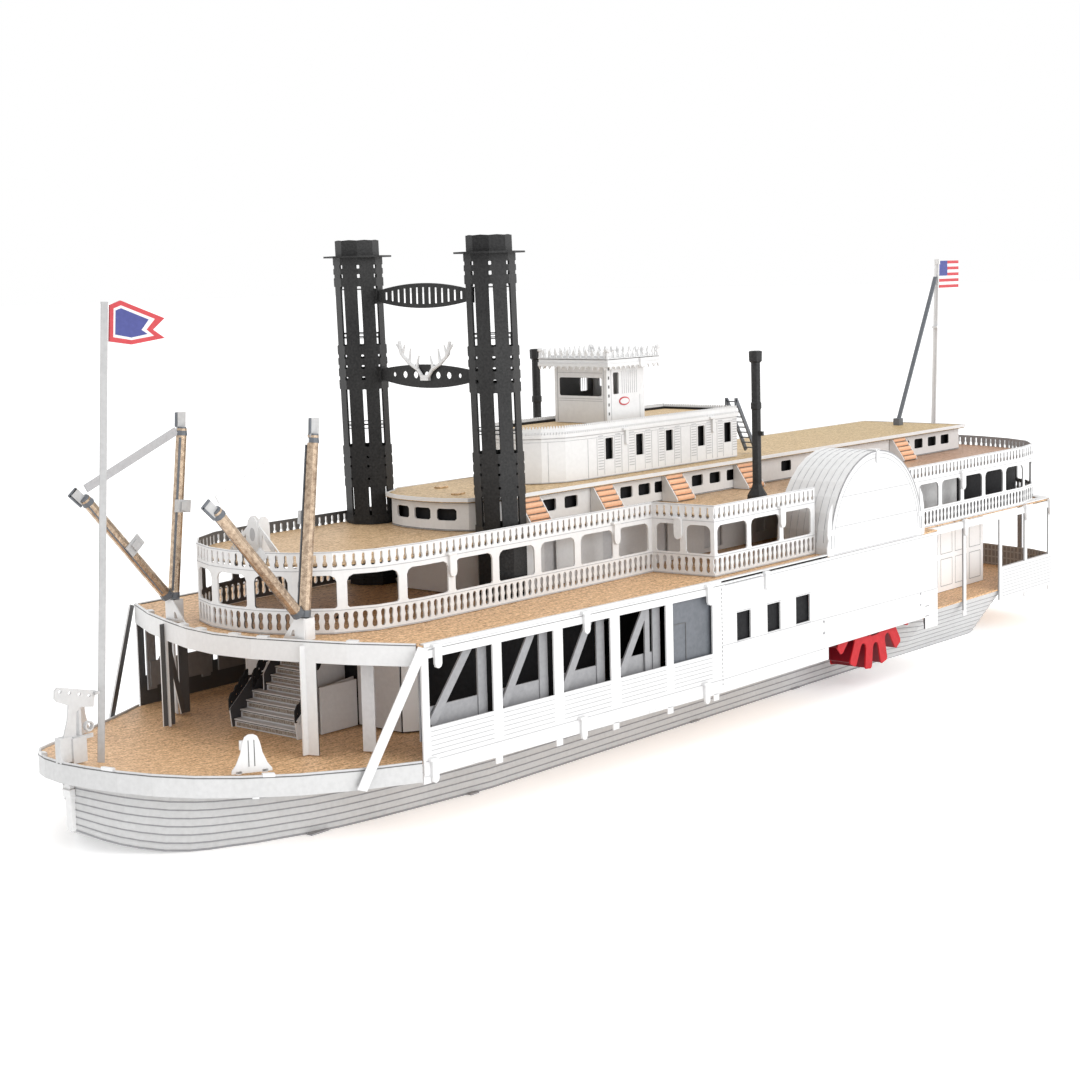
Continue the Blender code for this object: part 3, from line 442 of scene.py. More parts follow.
def follow(bm, path, lift=None):
    """Creases the flat sheet at the path's corners and stands it up along the path."""
    marks = marks_of(path)
    for mark in marks[1:-1]:
        bmesh.ops.bisect_plane(
            bm, geom=all_of(bm), dist=0.0004, plane_co=(mark, 0.0, 0.0), plane_no=(1.0, 0.0, 0.0))
    runs = [(Vector(b) - Vector(a)).normalized() for a, b in zip(path, path[1:])]
    outs = [Vector((d.y, -d.x)) for d in runs]
    closed = math.dist(path[0], path[-1]) < 0.001
    for vert in bm.verts:
        u, v, w = vert.co
        i = 0
        while i < len(runs) - 1 and u > marks[i + 1]:
            i += 1
        spot = Vector(path[i]) + runs[i] * (u - marks[i])
        out = outs[i]
        for j, k in ((i, i - 1), (i + 1, i + 1)):
            if (closed or 0 < j < len(runs)) and abs(u - marks[j]) < 0.01:
                k = k % len(runs)
                out = (outs[i] + outs[k]) / (1.0 + outs[i].dot(outs[k]))
        spot = spot + out * w
        vert.co = (spot.x, spot.y, v + (lift(spot.x) if lift else 0.0))
    if closed:
        bmesh.ops.remove_doubles(bm, verts=bm.verts, dist=0.001)
    return bm


def wall(path, foot, head, cuts=(), inset=0.0, depth=SHEET, out=0.0):
    """One strip of sheet with its openings, creased round its path."""
    total = marks_of(path)[-1]
    sheet = plate(oblong(inset, foot, total - inset, head), *cuts)
    return follow(thicken(sheet, depth, out), path)


def on_side(y):
    """Turns a flat sheet to face outboard at breadth y, v up."""
    side = 1.0 if y > 0 else -1.0
    return Matrix(((-side, 0, 0, 0), (0, 0, side, y), (0, 1, 0, 0), (0, 0, 0, 1)))


def athwart(x):
    """Turns a flat sheet to face forward at station x: u to port, v up."""
    return Matrix(((0, 0, 1, x), (1, 0, 0, 0), (0, 1, 0, 0), (0, 0, 0, 1)))


def lengthwise(y=0.0, x=0.0, way=1):
    """Turns a flat sheet into the plane at breadth y: u forward from station x, or aft."""
    return Matrix(((way, 0, 0, x), (0, 0, 1, y), (0, 1, 0, 0), (0, 0, 0, 1)))


def finished(name, bm, paint, stands_for=(), body="boat", smooth=False, bevel=0.0):
    """Brings a worked piece to size and place, paints it and hangs it on its body."""
    home = Matrix.Translation((X_SHIFT * MM, 0.0, 0.0)) @ Matrix.Scale(MM, 4)
    bmesh.ops.transform(bm, matrix=home, verts=bm.verts)
    mesh = bpy.data.meshes.new(name)
    bm.to_mesh(mesh)
    bm.free()
    paints = paint if isinstance(paint, (list, tuple)) else [paint]
    for one in paints:
        mesh.materials.append(one)
    if smooth:
        mesh.shade_smooth()
        mesh.set_sharp_from_angle(angle=math.radians(35))
    piece = bpy.data.objects.new(name, mesh)
    bpy.context.scene.collection.objects.link(piece)
    if bevel:
        edge = piece.modifiers.new("soft_edge", "BEVEL")
        edge.width = bevel * MM
        edge.segments = 2
    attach(piece, body)
    if stands_for:
        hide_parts(*stands_for)
    return piece


def both_sides(name, bm, paint, stands_for=None, **extra):
    """Port piece and its mirror image to starboard."""
    other = bm.copy()
    bmesh.ops.transform(other, matrix=Matrix.Diagonal((1, -1, 1, 1)), verts=other.verts)
    bmesh.ops.reverse_faces(other, faces=other.faces)
    for side, part in (("port", bm), ("starboard", other)):
        nodes = ["%s_%s" % (side, stands_for)] if stands_for else ()
        finished("%s_%s" % (side, name), part, paint, nodes, **extra)


def repaint(node, paint):
    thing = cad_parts[node]
    thing.data.materials.clear()
    thing.data.materials.append(paint)


# Hull

def foot_station(x):
    """Station of the hull's foot below station x: the stern leans in."""
    return x if x > -66.0 else -66.0 + (x + 66.0) * 0.93


def hull_planking():
    # Station x, half breadth at the top and at the bottom
    stations = [
        (-100.5, 8.0, 6.0), (-99.4, 18.0, 14.5), (-96.5, 26.5, 21.0), (-92.5, 31.0, 24.6),
        (-88.0, 32.7, 25.8), (-57.0, 32.7, 25.4), (-49.5, 25.9, 25.0), (70.0, 25.6, 25.0),
        (84.0, 24.9, 23.4), (92.0, 23.9, 22.4), (99.0, 22.6, 21.2), (104.0, 21.6, 19.9),
        (108.0, 20.2, 18.4), (112.0, 18.9, 17.0), (115.0, 17.6, 15.4), (118.0, 16.3, 14.0),
        (120.5, 14.8, 12.5), (123.2, 12.9, 10.4), (125.5, 10.6, 7.8), (127.4, 8.4, 5.8),
        (128.8, 6.0, 3.6), (131.0, 1.0, 0.8)]
    planks = 9
    lap = 0.16
    sunk = 0.4

    def section(x, top, bottom):
        head, foot = DECK_MAIN - sunk + rise(x), forefoot(x)
        low_x = foot_station(x)
        points = [(low_x, 0.0, foot)]
        for k in range(planks):
            for t, out in ((k / planks, lap), ((k + 1) / planks, 0.0)):
                points.append((
                    low_x + (x - low_x) * t, bottom + (top - bottom) * t + out - lap,
                    foot + (head - foot) * t))
        points.append((x, 0.0, head))
        return points

    bm, laps, rim, tabs, stem = blanks(5)
    ring = [bm.verts.new(p) for p in section(*stations[0])]
    edges = [bm.edges.new(pair) for pair in zip(ring, ring[1:])]
    for station in stations[1:]:
        made = bmesh.ops.extrude_edge_only(bm, edges=edges)
        edges = [e for e in made["geom"] if isinstance(e, bmesh.types.BMEdge)]
        for vert, point in zip(verts_in(made), section(*station)):
            vert.co = point
    bmesh.ops.mirror(bm, geom=all_of(bm), axis="Y", merge_dist=0.001)
    bmesh.ops.holes_fill(bm, edges=bm.edges, sides=0)
    bmesh.ops.recalc_face_normals(bm, faces=bm.faces)
    finished("hull_planking", bm, HULL_GREY_AND_BOW_SHADE, ["hull"])
    # Shadow line under each plank's edge
    for k in range(1, planks):
        t = k / planks
        line = around_bow([
            (foot_station(x) + (x - foot_station(x)) * t, bottom + (top - bottom) * t - 0.02)
            for x, top, bottom in stations])
        shade = score(bmesh.new(), 0.0, 0.02, marks_of(line)[-1], 0.02, 0.2, 0.05)
        add(laps, follow(shade, line, lambda x, t=t: (
            (DECK_MAIN - sunk + rise(x)) * t + forefoot(x) * (1 - t))))
    finished("hull_laps", laps, SHADOW_GREY)
    # Rim of the bottom plate and the tabs bent under it
    path = around_bow([(foot_station(x), bottom) for x, _, bottom in stations])
    strip(rim, marks_of(path)[-1], 0.14, 0.02, 0.28, 0.12)
    finished("hull_bottom_rim", follow(rim, path, forefoot), SHADOW_GREY)
    for x, wide in ((103.0, 3.6), (15.0, 2.6), (-18.0, 2.6), (-44.0, 3.6), (74.0, 2.0)):
        y = 24.9 if x < 90 else 20.6
        block(tabs, (x - wide / 2, y - 0.6, 0.02), (x + wide / 2, y + 0.55, 0.3))
    both_sides("bottom_tabs", tabs, SHADOW_GREY, bevel=0.08)
    bar(stem, (131.1, 0.0, 3.6), (131.3, 0.0, 12.9), (1, 0, 0), 1.2, 1.3)
    bar(stem, (131.5, 0.0, 8.6), (131.6, 0.0, 9.8), (1, 0, 0), 1.0, 1.8)
    finished("stem_strip", stem, WHITE, bevel=0.1)


hull_planking()


# Guards, decks and rims

def guard_work():
    lines, tabs, rim, dark, gallery_lines, gallery_tabs = blanks(6)
    path = around_bow(GUARD_BOW)
    total = marks_of(path)[-1]
    rule(lines, DECK_MAIN - 0.05, total, 0.16, 0.0)
    finished("bow_guard_line", follow(lines, path, rise), ETCHED)
    for u in pairs(total / 2, 8.2, 31.0):
        block(tabs, (u - 0.9, DECK_MAIN, -0.9), (u + 0.9, DECK_MAIN + 0.55, 0.05))
    for u in pairs(total / 2, 29.0):
        block(tabs, (u - 0.5, DECK_MAIN - 3.05, -0.2), (u + 0.5, DECK_MAIN - 2.8, 0.12))
    finished("bow_guard_tabs", follow(tabs, path, rise), WHITE, bevel=0.06)
    # White rim of the boiler deck above the side wall
    ends = (0.6, 34.2, 69.0, 105.4)
    for a, b in zip(ends, ends[1:]):
        block(rim, (a, DECK_BOILER - 0.35, -0.75), (b, DECK_BOILER + 0.22, 0.0))
        block(dark, (a, DECK_BOILER, -0.92), (b, DECK_BOILER + 0.12, -0.75))
    both_sides("deck_rim", follow(rim, SIDE_WALL), WHITE)
    both_sides("deck_rim_line", follow(dark, SIDE_WALL), ETCHED)
    path = around_bow(GALLERY_BOW)
    total = marks_of(path)[-1]
    rule(gallery_lines, DECK_BOILER + 0.12, total, 0.14, 0.0)
    finished("gallery_line", follow(gallery_lines, path), ETCHED)
    for u in pairs(total / 2, 9.5, 24.6, 4.0):
        block(gallery_tabs, (u - 0.9, DECK_BOILER + 0.1, -1.0),
              (u + 0.9, DECK_BOILER + 0.62, 0.04))
    finished("gallery_tabs", follow(gallery_tabs, path), WHITE, bevel=0.06)


guard_work()


# Side walls

TALL = ((91.7, 78.3), (76.4, 64.7), (62.6, 51.2), (48.9, 37.1), (35.3, 24.6))


def wall_mark(x):
    return reach(SIDE_WALL, x)


def side_wall_work():
    lines, faint, tabs, inner, brace, shade_cards, panel = sheets = blanks(7)
    end = marks_of(SIDE_WALL)[-1]
    fold = wall_mark(22.0)

    def post(u, w, wide):
        bar(inner, (u, 13.0, w), (u, 26.9, w), (1, 0, 0), wide, 0.3)

    for number, (a, b) in enumerate(TALL):
        u0, u1 = wall_mark(a), wall_mark(b)
        for k in range(6):
            v = 14.55 - 0.7 * k
            score(faint, u0 + 0.1, v, u1 - 0.1, v, 0.11)
        if number == len(TALL) - 1:
            # Closed panel with its door
            bar(panel, (u0 - 0.5, 20.3, -0.9), (u1 + 0.5, 20.3, -0.9), (0, 1, 0), 11.6, 0.3)
            for start, to in (((0.0, 21.6), (4.2, 21.6)), ((4.2, 21.6), (4.2, 15.2))):
                bar(lines, (u0 + start[0], start[1], -0.7), (u0 + to[0], to[1], -0.7),
                    (0.5, 0.5, 0), 0.12, 0.1)
            continue
        # Inner post, low panel and brace behind the opening
        post(u1 - 1.0, -1.5, 1.9)
        bar(inner, (u0 - 0.2, 15.7, -1.7), (u1 + 0.2, 15.7, -1.7), (0, 1, 0), 4.2, 0.3)
        bar(brace, (u0 + 1.2, 15.2, -1.15), (u1 - 3.3, 26.6, -1.15), (1, 0, 0), 1.5, 0.3)
        if number == 0:
            post(u0 + 0.3, -1.5, 1.9)
        if number == 3:
            post(u1 - 3.6, -1.3, 1.2)
    score(faint, 0.3, DECK_MAIN, fold - 0.2, DECK_MAIN, 0.12)
    score(faint, fold, 16.2, end - 0.2, 15.6, 0.10)
    score(faint, fold, DECK_MAIN, fold + 33.0, DECK_MAIN, 0.10)
    score(lines, 0.0, 26.75, 83.4, 26.75, 0.08)
    score(faint, fold + 1.0, 26.6, end - 1.0, 26.6, 0.10)
    for k in range(24):
        v = 9.3 + 0.72 * k
        score(lines, fold, v, fold, v + 0.36, 0.12)
    # Window frames abreast of the wheel, with a dark card behind as painted shade
    for a, b in ((17.5, 13.2), (8.0, 3.8), (-1.3, -6.0)):
        u0, u1 = wall_mark(a), wall_mark(b)
        bar(shade_cards, (u0 - 0.3, 18.8, -0.75), (u1 + 0.3, 18.8, -0.75), (0, 1, 0), 5.8, 0.3)
        for v in (16.1, 21.5):
            score(faint, u0 - 0.2, v, u1 + 0.2, v, 0.09)
    # Feet below the skirt and folded tabs
    for x in (92.5, 77.4, 63.8, 50.2, 36.3, 23.8):
        skirt_foot(tabs, wall_mark(x), 0.75)
    for x, v, drop, wide in (
            (90.0, 27.0, 3.2, 1.4), (91.2, 10.2, 3.3, 1.3), (57.2, 27.0, 3.2, 1.4),
            (58.4, 10.2, 3.3, 1.3), (25.6, 27.0, 3.2, 1.4), (26.8, 10.2, 3.3, 1.3),
            (8.3, 27.0, 3.0, 1.2)):
        tongue(tabs, wall_mark(x), v, drop, wide, 0.5, curl=0.5)
    for x in (82.0, 41.0):
        u = wall_mark(x)
        block(tabs, (u - 1.0, DECK_MAIN - 2.2, -0.1), (u + 1.0, DECK_MAIN - 1.9, 0.16))
    u = wall_mark(-48.5)
    for v in (12.6, 10.6):
        score(lines, u, v, u + 1.4, v, 0.12)
    for bm in sheets:
        follow(bm, SIDE_WALL)
    both_sides("wall_lines", lines, ETCHED)
    both_sides("wall_siding", faint, FAINT)
    both_sides("wall_tabs", tabs, WHITE, bevel=0.06)
    both_sides("wall_inner_frame", inner, SHADOW_GREY)
    both_sides("wall_braces", brace, SHADOW_GREY)
    both_sides("wall_shade_cards", shade_cards, DARK)
    both_sides("wall_panel", panel, CASING)


side_wall_work()


# Balustrades and arcades

def rail_cell(pitch, half, foot, head):
    """Rail cell with one slot, given by its half outline."""
    c = pitch / 2
    slot = [(c + a, b) for a, b in half] + [(c - a, b) for a, b in reversed(half)]
    return plate(oblong(0, foot, pitch, head), slot)


def bone_slot(pitch):
    """Slot that swells at both ends."""
    return rail_cell(pitch, (
        (0.18, 28.2), (0.40, 28.5), (0.40, 28.95), (0.25, 29.5), (0.40, 30.05), (0.40, 30.5),
        (0.18, 30.8)), 27.6, 31.3)


def bottle_slot(pitch, low, high, head):
    """Slot narrow above and swollen below."""
    return rail_cell(pitch, (
        (0.2, low), (0.38, low + 0.25), (0.36, low + 0.65), (0.19, low + 1.0),
        (0.22, high - 0.25), (0.14, high)), 36.7, head)


def arch(a, b, low=31.5, high=36.5, ease=1.0):
    """Opening with eased upper corners."""
    part, under = ease * 0.3, high - ease * 0.35
    return [(a, low + 0.3), (a + 0.3, low), (b - 0.3, low), (b, low + 0.3), (b, high - ease),
            (b - part, under), (b - ease, high), (a + ease, high), (a + part, under),
            (a, high - ease)]


def arcade(name, path, openings, marks_u, stands_for, head, coat):
    total = marks_of(path)[-1]
    count = round(total / 1.5)
    pitch = total / count
    sheet = row(bone_slot(pitch), count, pitch)
    add(sheet, plate(oblong(0, 31.3, total, 36.7), *[arch(a, b) for a, b in openings]))
    add(sheet, row(bottle_slot(pitch, head - 2.4, head - 0.45, head), count, pitch))
    thicken(sheet)
    lines, tabs = blanks(2)
    for v, wide in ((27.75, 0.14), (31.15, 0.1), (37.25, 0.1), (head - 0.12, 0.1)):
        rule(lines, v, total, wide)
    for u in marks_u:
        tongue(tabs, u, 37.3, 3.5, 1.6, 0.5, curl=0.5)
    finished(name, follow(sheet, path), coat, stands_for)
    finished(name + "_lines", follow(lines, path), FAINT)
    finished(name + "_tabs", follow(tabs, path), WHITE, bevel=0.08)


def spans_of(posts, gap):
    return [(a + gap / 2, b - gap / 2) for a, b in zip(posts, posts[1:])]


def arcades():
    path = around_bow(ARCADE_FORE)
    marks = marks_of(ARCADE_FORE)
    total = 2 * marks[-1]
    corner, inside = marks[1], marks[2]
    inner = [inside + 0.3] + [inside + 10.4 * i for i in range(1, 8)]
    inner += [inside + 80.3, inside + 87.6]
    spans = spans_of([0.8, 11.2, 21.6, corner - 0.3], 1.2) + spans_of(inner, 1.6)
    spans += spans_of([corner + 0.2, (corner + inside) / 2, inside - 0.2], 1.2)
    both = spans + [(total - b, total - a) for a, b in spans]
    both += spans_of([inner[-1], total - inner[-1]], 1.6)
    at = [inner[5], 11.2, inner[1], corner + 7.3]
    at += [total - u for u in at]
    arcade("fore_arcade_sheet", path, both, at, ["fore_arcade"], 40.1, SHEET_WHITE)
    path = around_stern(STERN_ARCADE)
    total = marks_of(path)[-1]
    posts = [3.4 + 9.5 * i for i in range(0, 7)]
    spans = spans_of(posts, 1.4)
    spans += [(total - b, total - a) for a, b in spans]
    gap = (total - 2 * posts[-1]) / 7
    spans += spans_of([posts[-1] + gap * i for i in range(8)], 1.4)
    arcade("stern_arcade_sheet", path, spans, [posts[2], total - posts[4]], ["stern_arcade"], 40.4,
           STERN_SHEET)


arcades()


# Funnels

def funnel(name, across, turn):
    """Eight leaves slotted along their folds, with bands, brim and crown."""
    radius = 4.0
    side = 2 * radius * math.sin(math.pi / 8)
    foot, top = DECK_HURRICANE + 0.1, 84.4
    # Slots along each fold: low, high, half width
    slots = (
        (39.6, 44.8, 0.16), (46.0, 46.5, 0.14), (48.2, 48.7, 0.14), (49.8, 50.3, 0.14),
        (51.8, 61.8, 0.34), (63.3, 64.0, 0.26), (65.3, 66.0, 0.26), (67.1, 67.8, 0.26),
        (69.3, 79.5, 0.36), (80.9, 81.6, 0.26), (82.5, 83.2, 0.26))
    left, right = [], []
    for low, high, half in slots:
        cut = ((0.0, low), (half, low + 0.08), (half, high - 0.08), (0.0, high))
        left += cut
        right += [(side - u, v) for u, v in cut]
    outline = [(0.0, foot), (side, foot)] + right + [(side, top), (0.0, top)] + left[::-1]
    ring = [
        (radius * math.cos(turn - math.pi * k / 4), radius * math.sin(turn - math.pi * k / 4))
        for k in range(9)]

    def ring_at(size):
        return [(x * size / radius, y * size / radius) for x, y in ring]

    def wrapped(bm, path):
        follow(bm, path)
        bmesh.ops.remove_doubles(bm, verts=bm.verts, dist=0.002)
        for vert in bm.verts:
            vert.co.x += FUNNEL_X + funnel_lean(vert.co.z)
            vert.co.y += across
        return bm

    whole = wrapped(thicken(row(plate(outline), 8, side), 0.25), ring)
    bands = bmesh.new()
    for v in (47.1, 55.4, 63.0, 71.0, 79.3):
        for dv in (-0.35, 0.35):
            score(bands, 0.0, v + dv, side * 8, v + dv, 0.16, 0.07)
    score(bands, 0.0, 39.3, side * 8, 39.3, 1.0, 0.3)
    for k, v in ((1, 81.2), (4, 81.2), (2, 47.4), (6, 59.0), (5, 71.0)):
        tongue(bands, side * (k + 0.5), v, 2.2, 0.8, 0.45)
    add(whole, wrapped(bands, ring))
    # Brim and crown
    brim = thicken(plate(ring_at(5.85)[:-1], ring_at(3.2)[:-1]), 0.3, 84.7)
    crown_radius = 3.5
    wide = 2 * crown_radius * math.sin(math.pi / 8)
    crown = row(plate([
        (0.0, 84.6), (wide, 84.6), (wide, 87.3), (wide * 0.5, FUNNEL_TOP), (0.0, 87.3)]), 8, wide)
    add(whole, wrapped(thicken(crown, 0.25), ring_at(crown_radius)))
    add(whole, shift(brim, FUNNEL_X + FUNNEL_RAKE * 0.94, across))
    finished(name + "_leaves", whole, BLACK, [name])


funnel("port_funnel", FUNNEL_Y, math.radians(-3.3))
funnel("starboard_funnel", -FUNNEL_Y, math.radians(0.5))


# Deck houses

def slit(u, v0, v1, half=0.7, ease=0.12):
    """Upright window with eased corners."""
    left, right = u - half, u + half
    return [(left, v0 + ease), (left + ease, v0), (right - ease, v0), (right, v0 + ease),
            (right, v1 - ease), (right - ease, v1), (left + ease, v1), (left, v1 - ease)]


def low_house():
    path = all_round(LOW_HOUSE)
    total = marks_of(path)[-1]
    foot, head = DECK_HURRICANE + 0.1, 43.15
    cuts = []
    for x in (38.4, 32.5, 16.7, 11.3, 6.4, -5.3, -11.1, -16.8, -35.9, -83.6, -89.5, -95.5, -101.4):
        for u in side_marks(LOW_HOUSE, x):
            cuts.append(slit(u, 39.95, 42.05, 1.8, 0.25))
    middle = (total - 2 * LOW_HOUSE[0][1]) / 2
    for u in [middle] + pairs(middle, 5.2):
        cuts.append(slit(u, 40.0, 42.0, 1.9, 0.35))
    finished("low_house_walls", wall(path, foot, head, cuts), SHEET_WHITE, ["low_house"])
    lines, edge, under, lid = blanks(4)
    rule(lines, foot + 0.15, total, 0.12)
    rule(lines, head - 0.1, total, 0.14)
    finished("low_house_lines", follow(lines, path), ETCHED)
    # Dark card behind the windows: painted shade for the unlit inside
    finished("low_house_shade_card", wall(path, foot, head, (), 0.4, 0.2, -1.2), DARK)
    # White strip folded down round the roof
    around = all_round([
        (-108.6, 13.4), (50.2, 13.4), (52.8, 11.45), (56.6, 9.6), (58.4, 5.6), (59.0, 2.0)])
    total = marks_of(around)[-1]
    strip(edge, total, 43.62, -0.1, 0.62)
    finished("low_house_roof_edge", follow(edge, around), WHITE)
    # Dark strip under the roof edge: painted shadow
    strip(under, total, 43.18, -0.35, 0.22)
    finished("low_house_roof_shadow", follow(under, around), ETCHED)
    for x, y, turn in ((-30.0, 0.0, 0.0), (52.0, 3.0, 0.4), (46.0, -6.5, 0.2)):
        bar(lid, (x - 1.2, y, 43.95), (x + 1.2, y + turn, 43.95), (0, 1, 0), 1.4, 0.28)
    finished("roof_hatches", lid, ROOF, bevel=0.08)


def scallops(total, low, tooth, rise_of, depth, out):
    """Upright frill: a strip whose top edge is cut into small round teeth."""
    count = int(total / tooth)
    pitch = total / count
    neck = low + 0.6
    cell = plate([
        (0, low), (pitch, low), (pitch, low + 0.55), (pitch * 0.82, neck),
        (pitch * 0.72, neck + rise_of * 0.8), (pitch * 0.5, neck + rise_of),
        (pitch * 0.28, neck + rise_of * 0.8), (pitch * 0.18, neck), (0, low + 0.55)])
    return thicken(row(cell, count, pitch), depth, out)


def texas_house():
    path = all_round(TEXAS)
    total = marks_of(path)[-1]
    foot, head, brow = 43.9, 53.4, 51.1
    spots = (17.6, 8.5, -0.7, -11.0, -19.8)
    windows = [u for x in spots for u in side_marks(TEXAS, x)]
    cuts = [slit(u, 47.0, 50.9, 1.12) for u in windows]
    finished("texas_walls", wall(path, foot, head, cuts), SHEET_WHITE, ["texas"])
    finished("texas_frill", follow(scallops(total, 53.0, 0.55, 0.4, 0.25, 0.02), path), WHITE)
    finished("texas_lower_frill", follow(scallops(total, 51.9, 0.55, 0.4, 0.2, 0.22), path), WHITE)
    louvres, lines, tabs, ladder = blanks(4)
    for u in windows:
        for middle in pairs(u, 2.5):
            for k in range(13):
                v = 45.4 + 0.5 * k
                score(louvres, middle - 0.75, v, middle + 0.75, v, 0.14)
        for away, wide in ((1.5, 0.07), (3.6, 0.09)):
            for mark in pairs(u, away):
                score(lines, mark, foot + 0.4, mark, brow, wide)
    for u in side_marks(TEXAS, 23.8):
        score(lines, u, foot + 0.1, u, brow, 0.12)
    for u in pairs((total - 2 * TEXAS[0][1]) / 2, 8.6):
        score(lines, u, foot + 0.1, u, brow, 0.08)
    for x in (12.8, -14.6):
        for u in side_marks(TEXAS, x):
            tongue(tabs, u, 51.9, 2.6, 0.8, 0.5, curl=0.9)
    for v, wide in ((51.75, 0.10), (51.2, 0.07), (foot + 0.12, 0.10)):
        rule(lines, v, total, wide)
    finished("texas_louvres", follow(louvres, path), FAINT)
    finished("texas_lines", follow(lines, path), FAINT)
    finished("texas_tabs", follow(tabs, path), WHITE, bevel=0.07)
    # Dark card behind the windows: painted shade for the unlit inside
    finished("texas_shade_card", wall(path, foot, head, (), 0.3, 0.2, -1.0), DARK)
    # Ladder at the aft port corner
    for y in (6.2, 8.5):
        bar(ladder, (-23.6, y, 55.2), (-30.2, y, 44.5), (0, 0, 1), 0.8, 0.3)
        bar(ladder, (-23.5, y, 55.4), (-23.5, y, 53.4), (1, 0, 0), 0.5, 0.3)
    for k in range(10):
        t = (k + 0.5) / 10
        x, z = -23.6 - 6.6 * t, 55.2 - 10.7 * t
        bar(ladder, (x, 6.2, z), (x, 8.5, z), (1, 0, 0), 0.5, 0.22)
    finished("texas_ladder", ladder, CASING)


def pilot_house():
    path = all_round(PILOT)
    total = marks_of(path)[-1]
    # Lengths from the aft starboard corner: side, front, side, back
    long, wide = 11.3, 12.4
    a, b, c = long, long + wide, long * 2 + wide
    middle = (a + b) / 2
    foot, head = 53.1, 63.5
    cuts = [slit(middle, 58.1, 61.5, 5.0, 0.25), slit(b + 2.8, 58.4, 62.4, 0.85, 0.15),
            slit(3.0, 58.4, 60.9, 1.1, 0.15), slit(c + 2.8, 59.2, 61.6, 1.0, 0.15),
            slit(total - 2.8, 59.2, 61.6, 1.0, 0.15)]
    finished("pilot_house_walls", wall(path, foot, head, cuts), SHEET_WHITE, ["pilot_house"])
    lines, dots, oval, inner, roof, lip, tabs = blanks(7)
    for v, inset, thick in ((57.6, 1.0, 0.1), (57.2, 1.0, 0.08), (62.4, 0.9, 0.08)):
        score(lines, a + inset, v, b - inset, v, thick)
    for u in (a + 0.7, b - 0.7):
        score(lines, u, foot + 0.2, u, head - 0.2, 0.12)
    corner = wide / 2
    for k in range(8):
        for u in pairs(middle, corner + 4.6 + 0.62 * k):
            score(lines, u, 58.4, u, 62.6, 0.1)
    for away, top in ((9.9, 58.0), (1.3, head)):
        for u in pairs(middle, corner + away):
            score(lines, u, foot + 0.3, u, top, 0.08)
    for u in pairs(middle, corner + 0.6):
        for k in range(6):
            v = 54.6 + 1.65 * k
            score(dots, u, v, u, v + 0.55, 0.36)
    # Blank oval plate on each side
    for u in pairs(middle, corner + 5.1):
        for target, across, high, out in ((oval, 1.55, 0.8, 0.12), (inner, 1.3, 0.55, 0.17)):
            add(target, thicken(plate(ellipse(u, 57.0, across, high, 16)), out, out))
    finished("pilot_house_lines", follow(lines, path), FAINT)
    finished("pilot_house_slots", follow(dots, path), ETCHED)
    finished("pilot_house_oval_rim", follow(oval, path), FLAG_RED)
    finished("pilot_house_oval", follow(inner, path), WHITE)
    # Roof box with frills above and below and corner finials
    around = all_round([(1.0, 8.2), (16.6, 8.2), (16.6, 0.0)])
    total = marks_of(around)[-1]
    block(roof, (1.0, -8.2, 63.6), (16.6, 8.2, 65.2))
    block(roof, (2.2, -7.0, 65.15), (15.4, 7.0, 65.6))
    count = 44
    pitch = total / count
    upper = plate([(pitch * t, v) for t, v in (
        (0, 64.9), (1, 64.9), (1, 65.15), (0.66, 65.2), (0.60, 65.6), (0.78, 65.9), (0.5, 66.9),
        (0.22, 65.9), (0.40, 65.6), (0.34, 65.2), (0, 65.15))])
    add(roof, follow(thicken(row(upper, count, pitch), 0.25), around))
    lower = plate([(pitch * t, v) for t, v in (
        (0, 64.2), (0, 63.75), (0.3, 63.6), (0.5, 63.05), (0.7, 63.6), (1, 63.75), (1, 64.2))])
    add(roof, follow(thicken(row(lower, count, pitch), 0.25, 0.12), around))
    for v in (64.3, 65.1):
        score(lip, 0.0, v, total, v, 0.14, 0.12)
    add(roof, follow(lip, around))
    for x in (1.2, 16.4):
        for y in (-8.0, 8.0):
            rod(roof, (x, y, 65.0), (x, y, 67.0), 0.35, 0.12, 8)
            bmesh.ops.create_icosphere(
                roof, subdivisions=1, radius=0.55, matrix=Matrix.Translation((x, y, 66.7)))
    tongue(tabs, 15.6 + 16.4 + 10.0, 64.6, 1.5, 1.3, 0.4)
    add(roof, follow(tabs, around))
    finished("pilot_house_crown", roof, WHITE, ["pilot_house_roof"])


def flights():
    """Roof steps: rounded treads between white strings."""
    strings, gaps = blanks(2)
    foot, half = DECK_HURRICANE + 0.1, 2.6
    tread_high, tread_deep = 0.96, 0.68
    for number, x in enumerate((44.5, 24.3, 3.2, -20.0, -79.6), 1):
        treads = bmesh.new()
        for k in range(5):
            y, z = -tread_deep * k, foot + tread_high * k
            block(treads, (x - half, 14.8 + y, z + 0.12), (x + half, 15.7 + y, z + tread_high))
            # Dark block in the gap under each tread: painted shade
            block(gaps, (x - half, 14.7 + y, z), (x + half, 15.45 + y, z + 0.2))
        both_sides("flight_%d" % number, treads, TREAD, "steps_%d" % number, bevel=0.26)
        for side in pairs(0.0, half + 0.15):
            cut = plate([(0.0, foot), (3.5, foot), (3.5, foot + 0.4), (0.5, 43.1), (0.0, 43.1)])
            turn = athwart(x + side) @ Matrix.Translation((12.1, 0.0, 0.0))
            add(strings, thicken(cut, 0.25, 0.12), turn)
    both_sides("step_strings", strings, WHITE)
    both_sides("step_gaps", gaps, INLAY_AND_GAP_SHADE)


low_house()
texas_house()
pilot_house()
flights()


# Paddle boxes and wheels

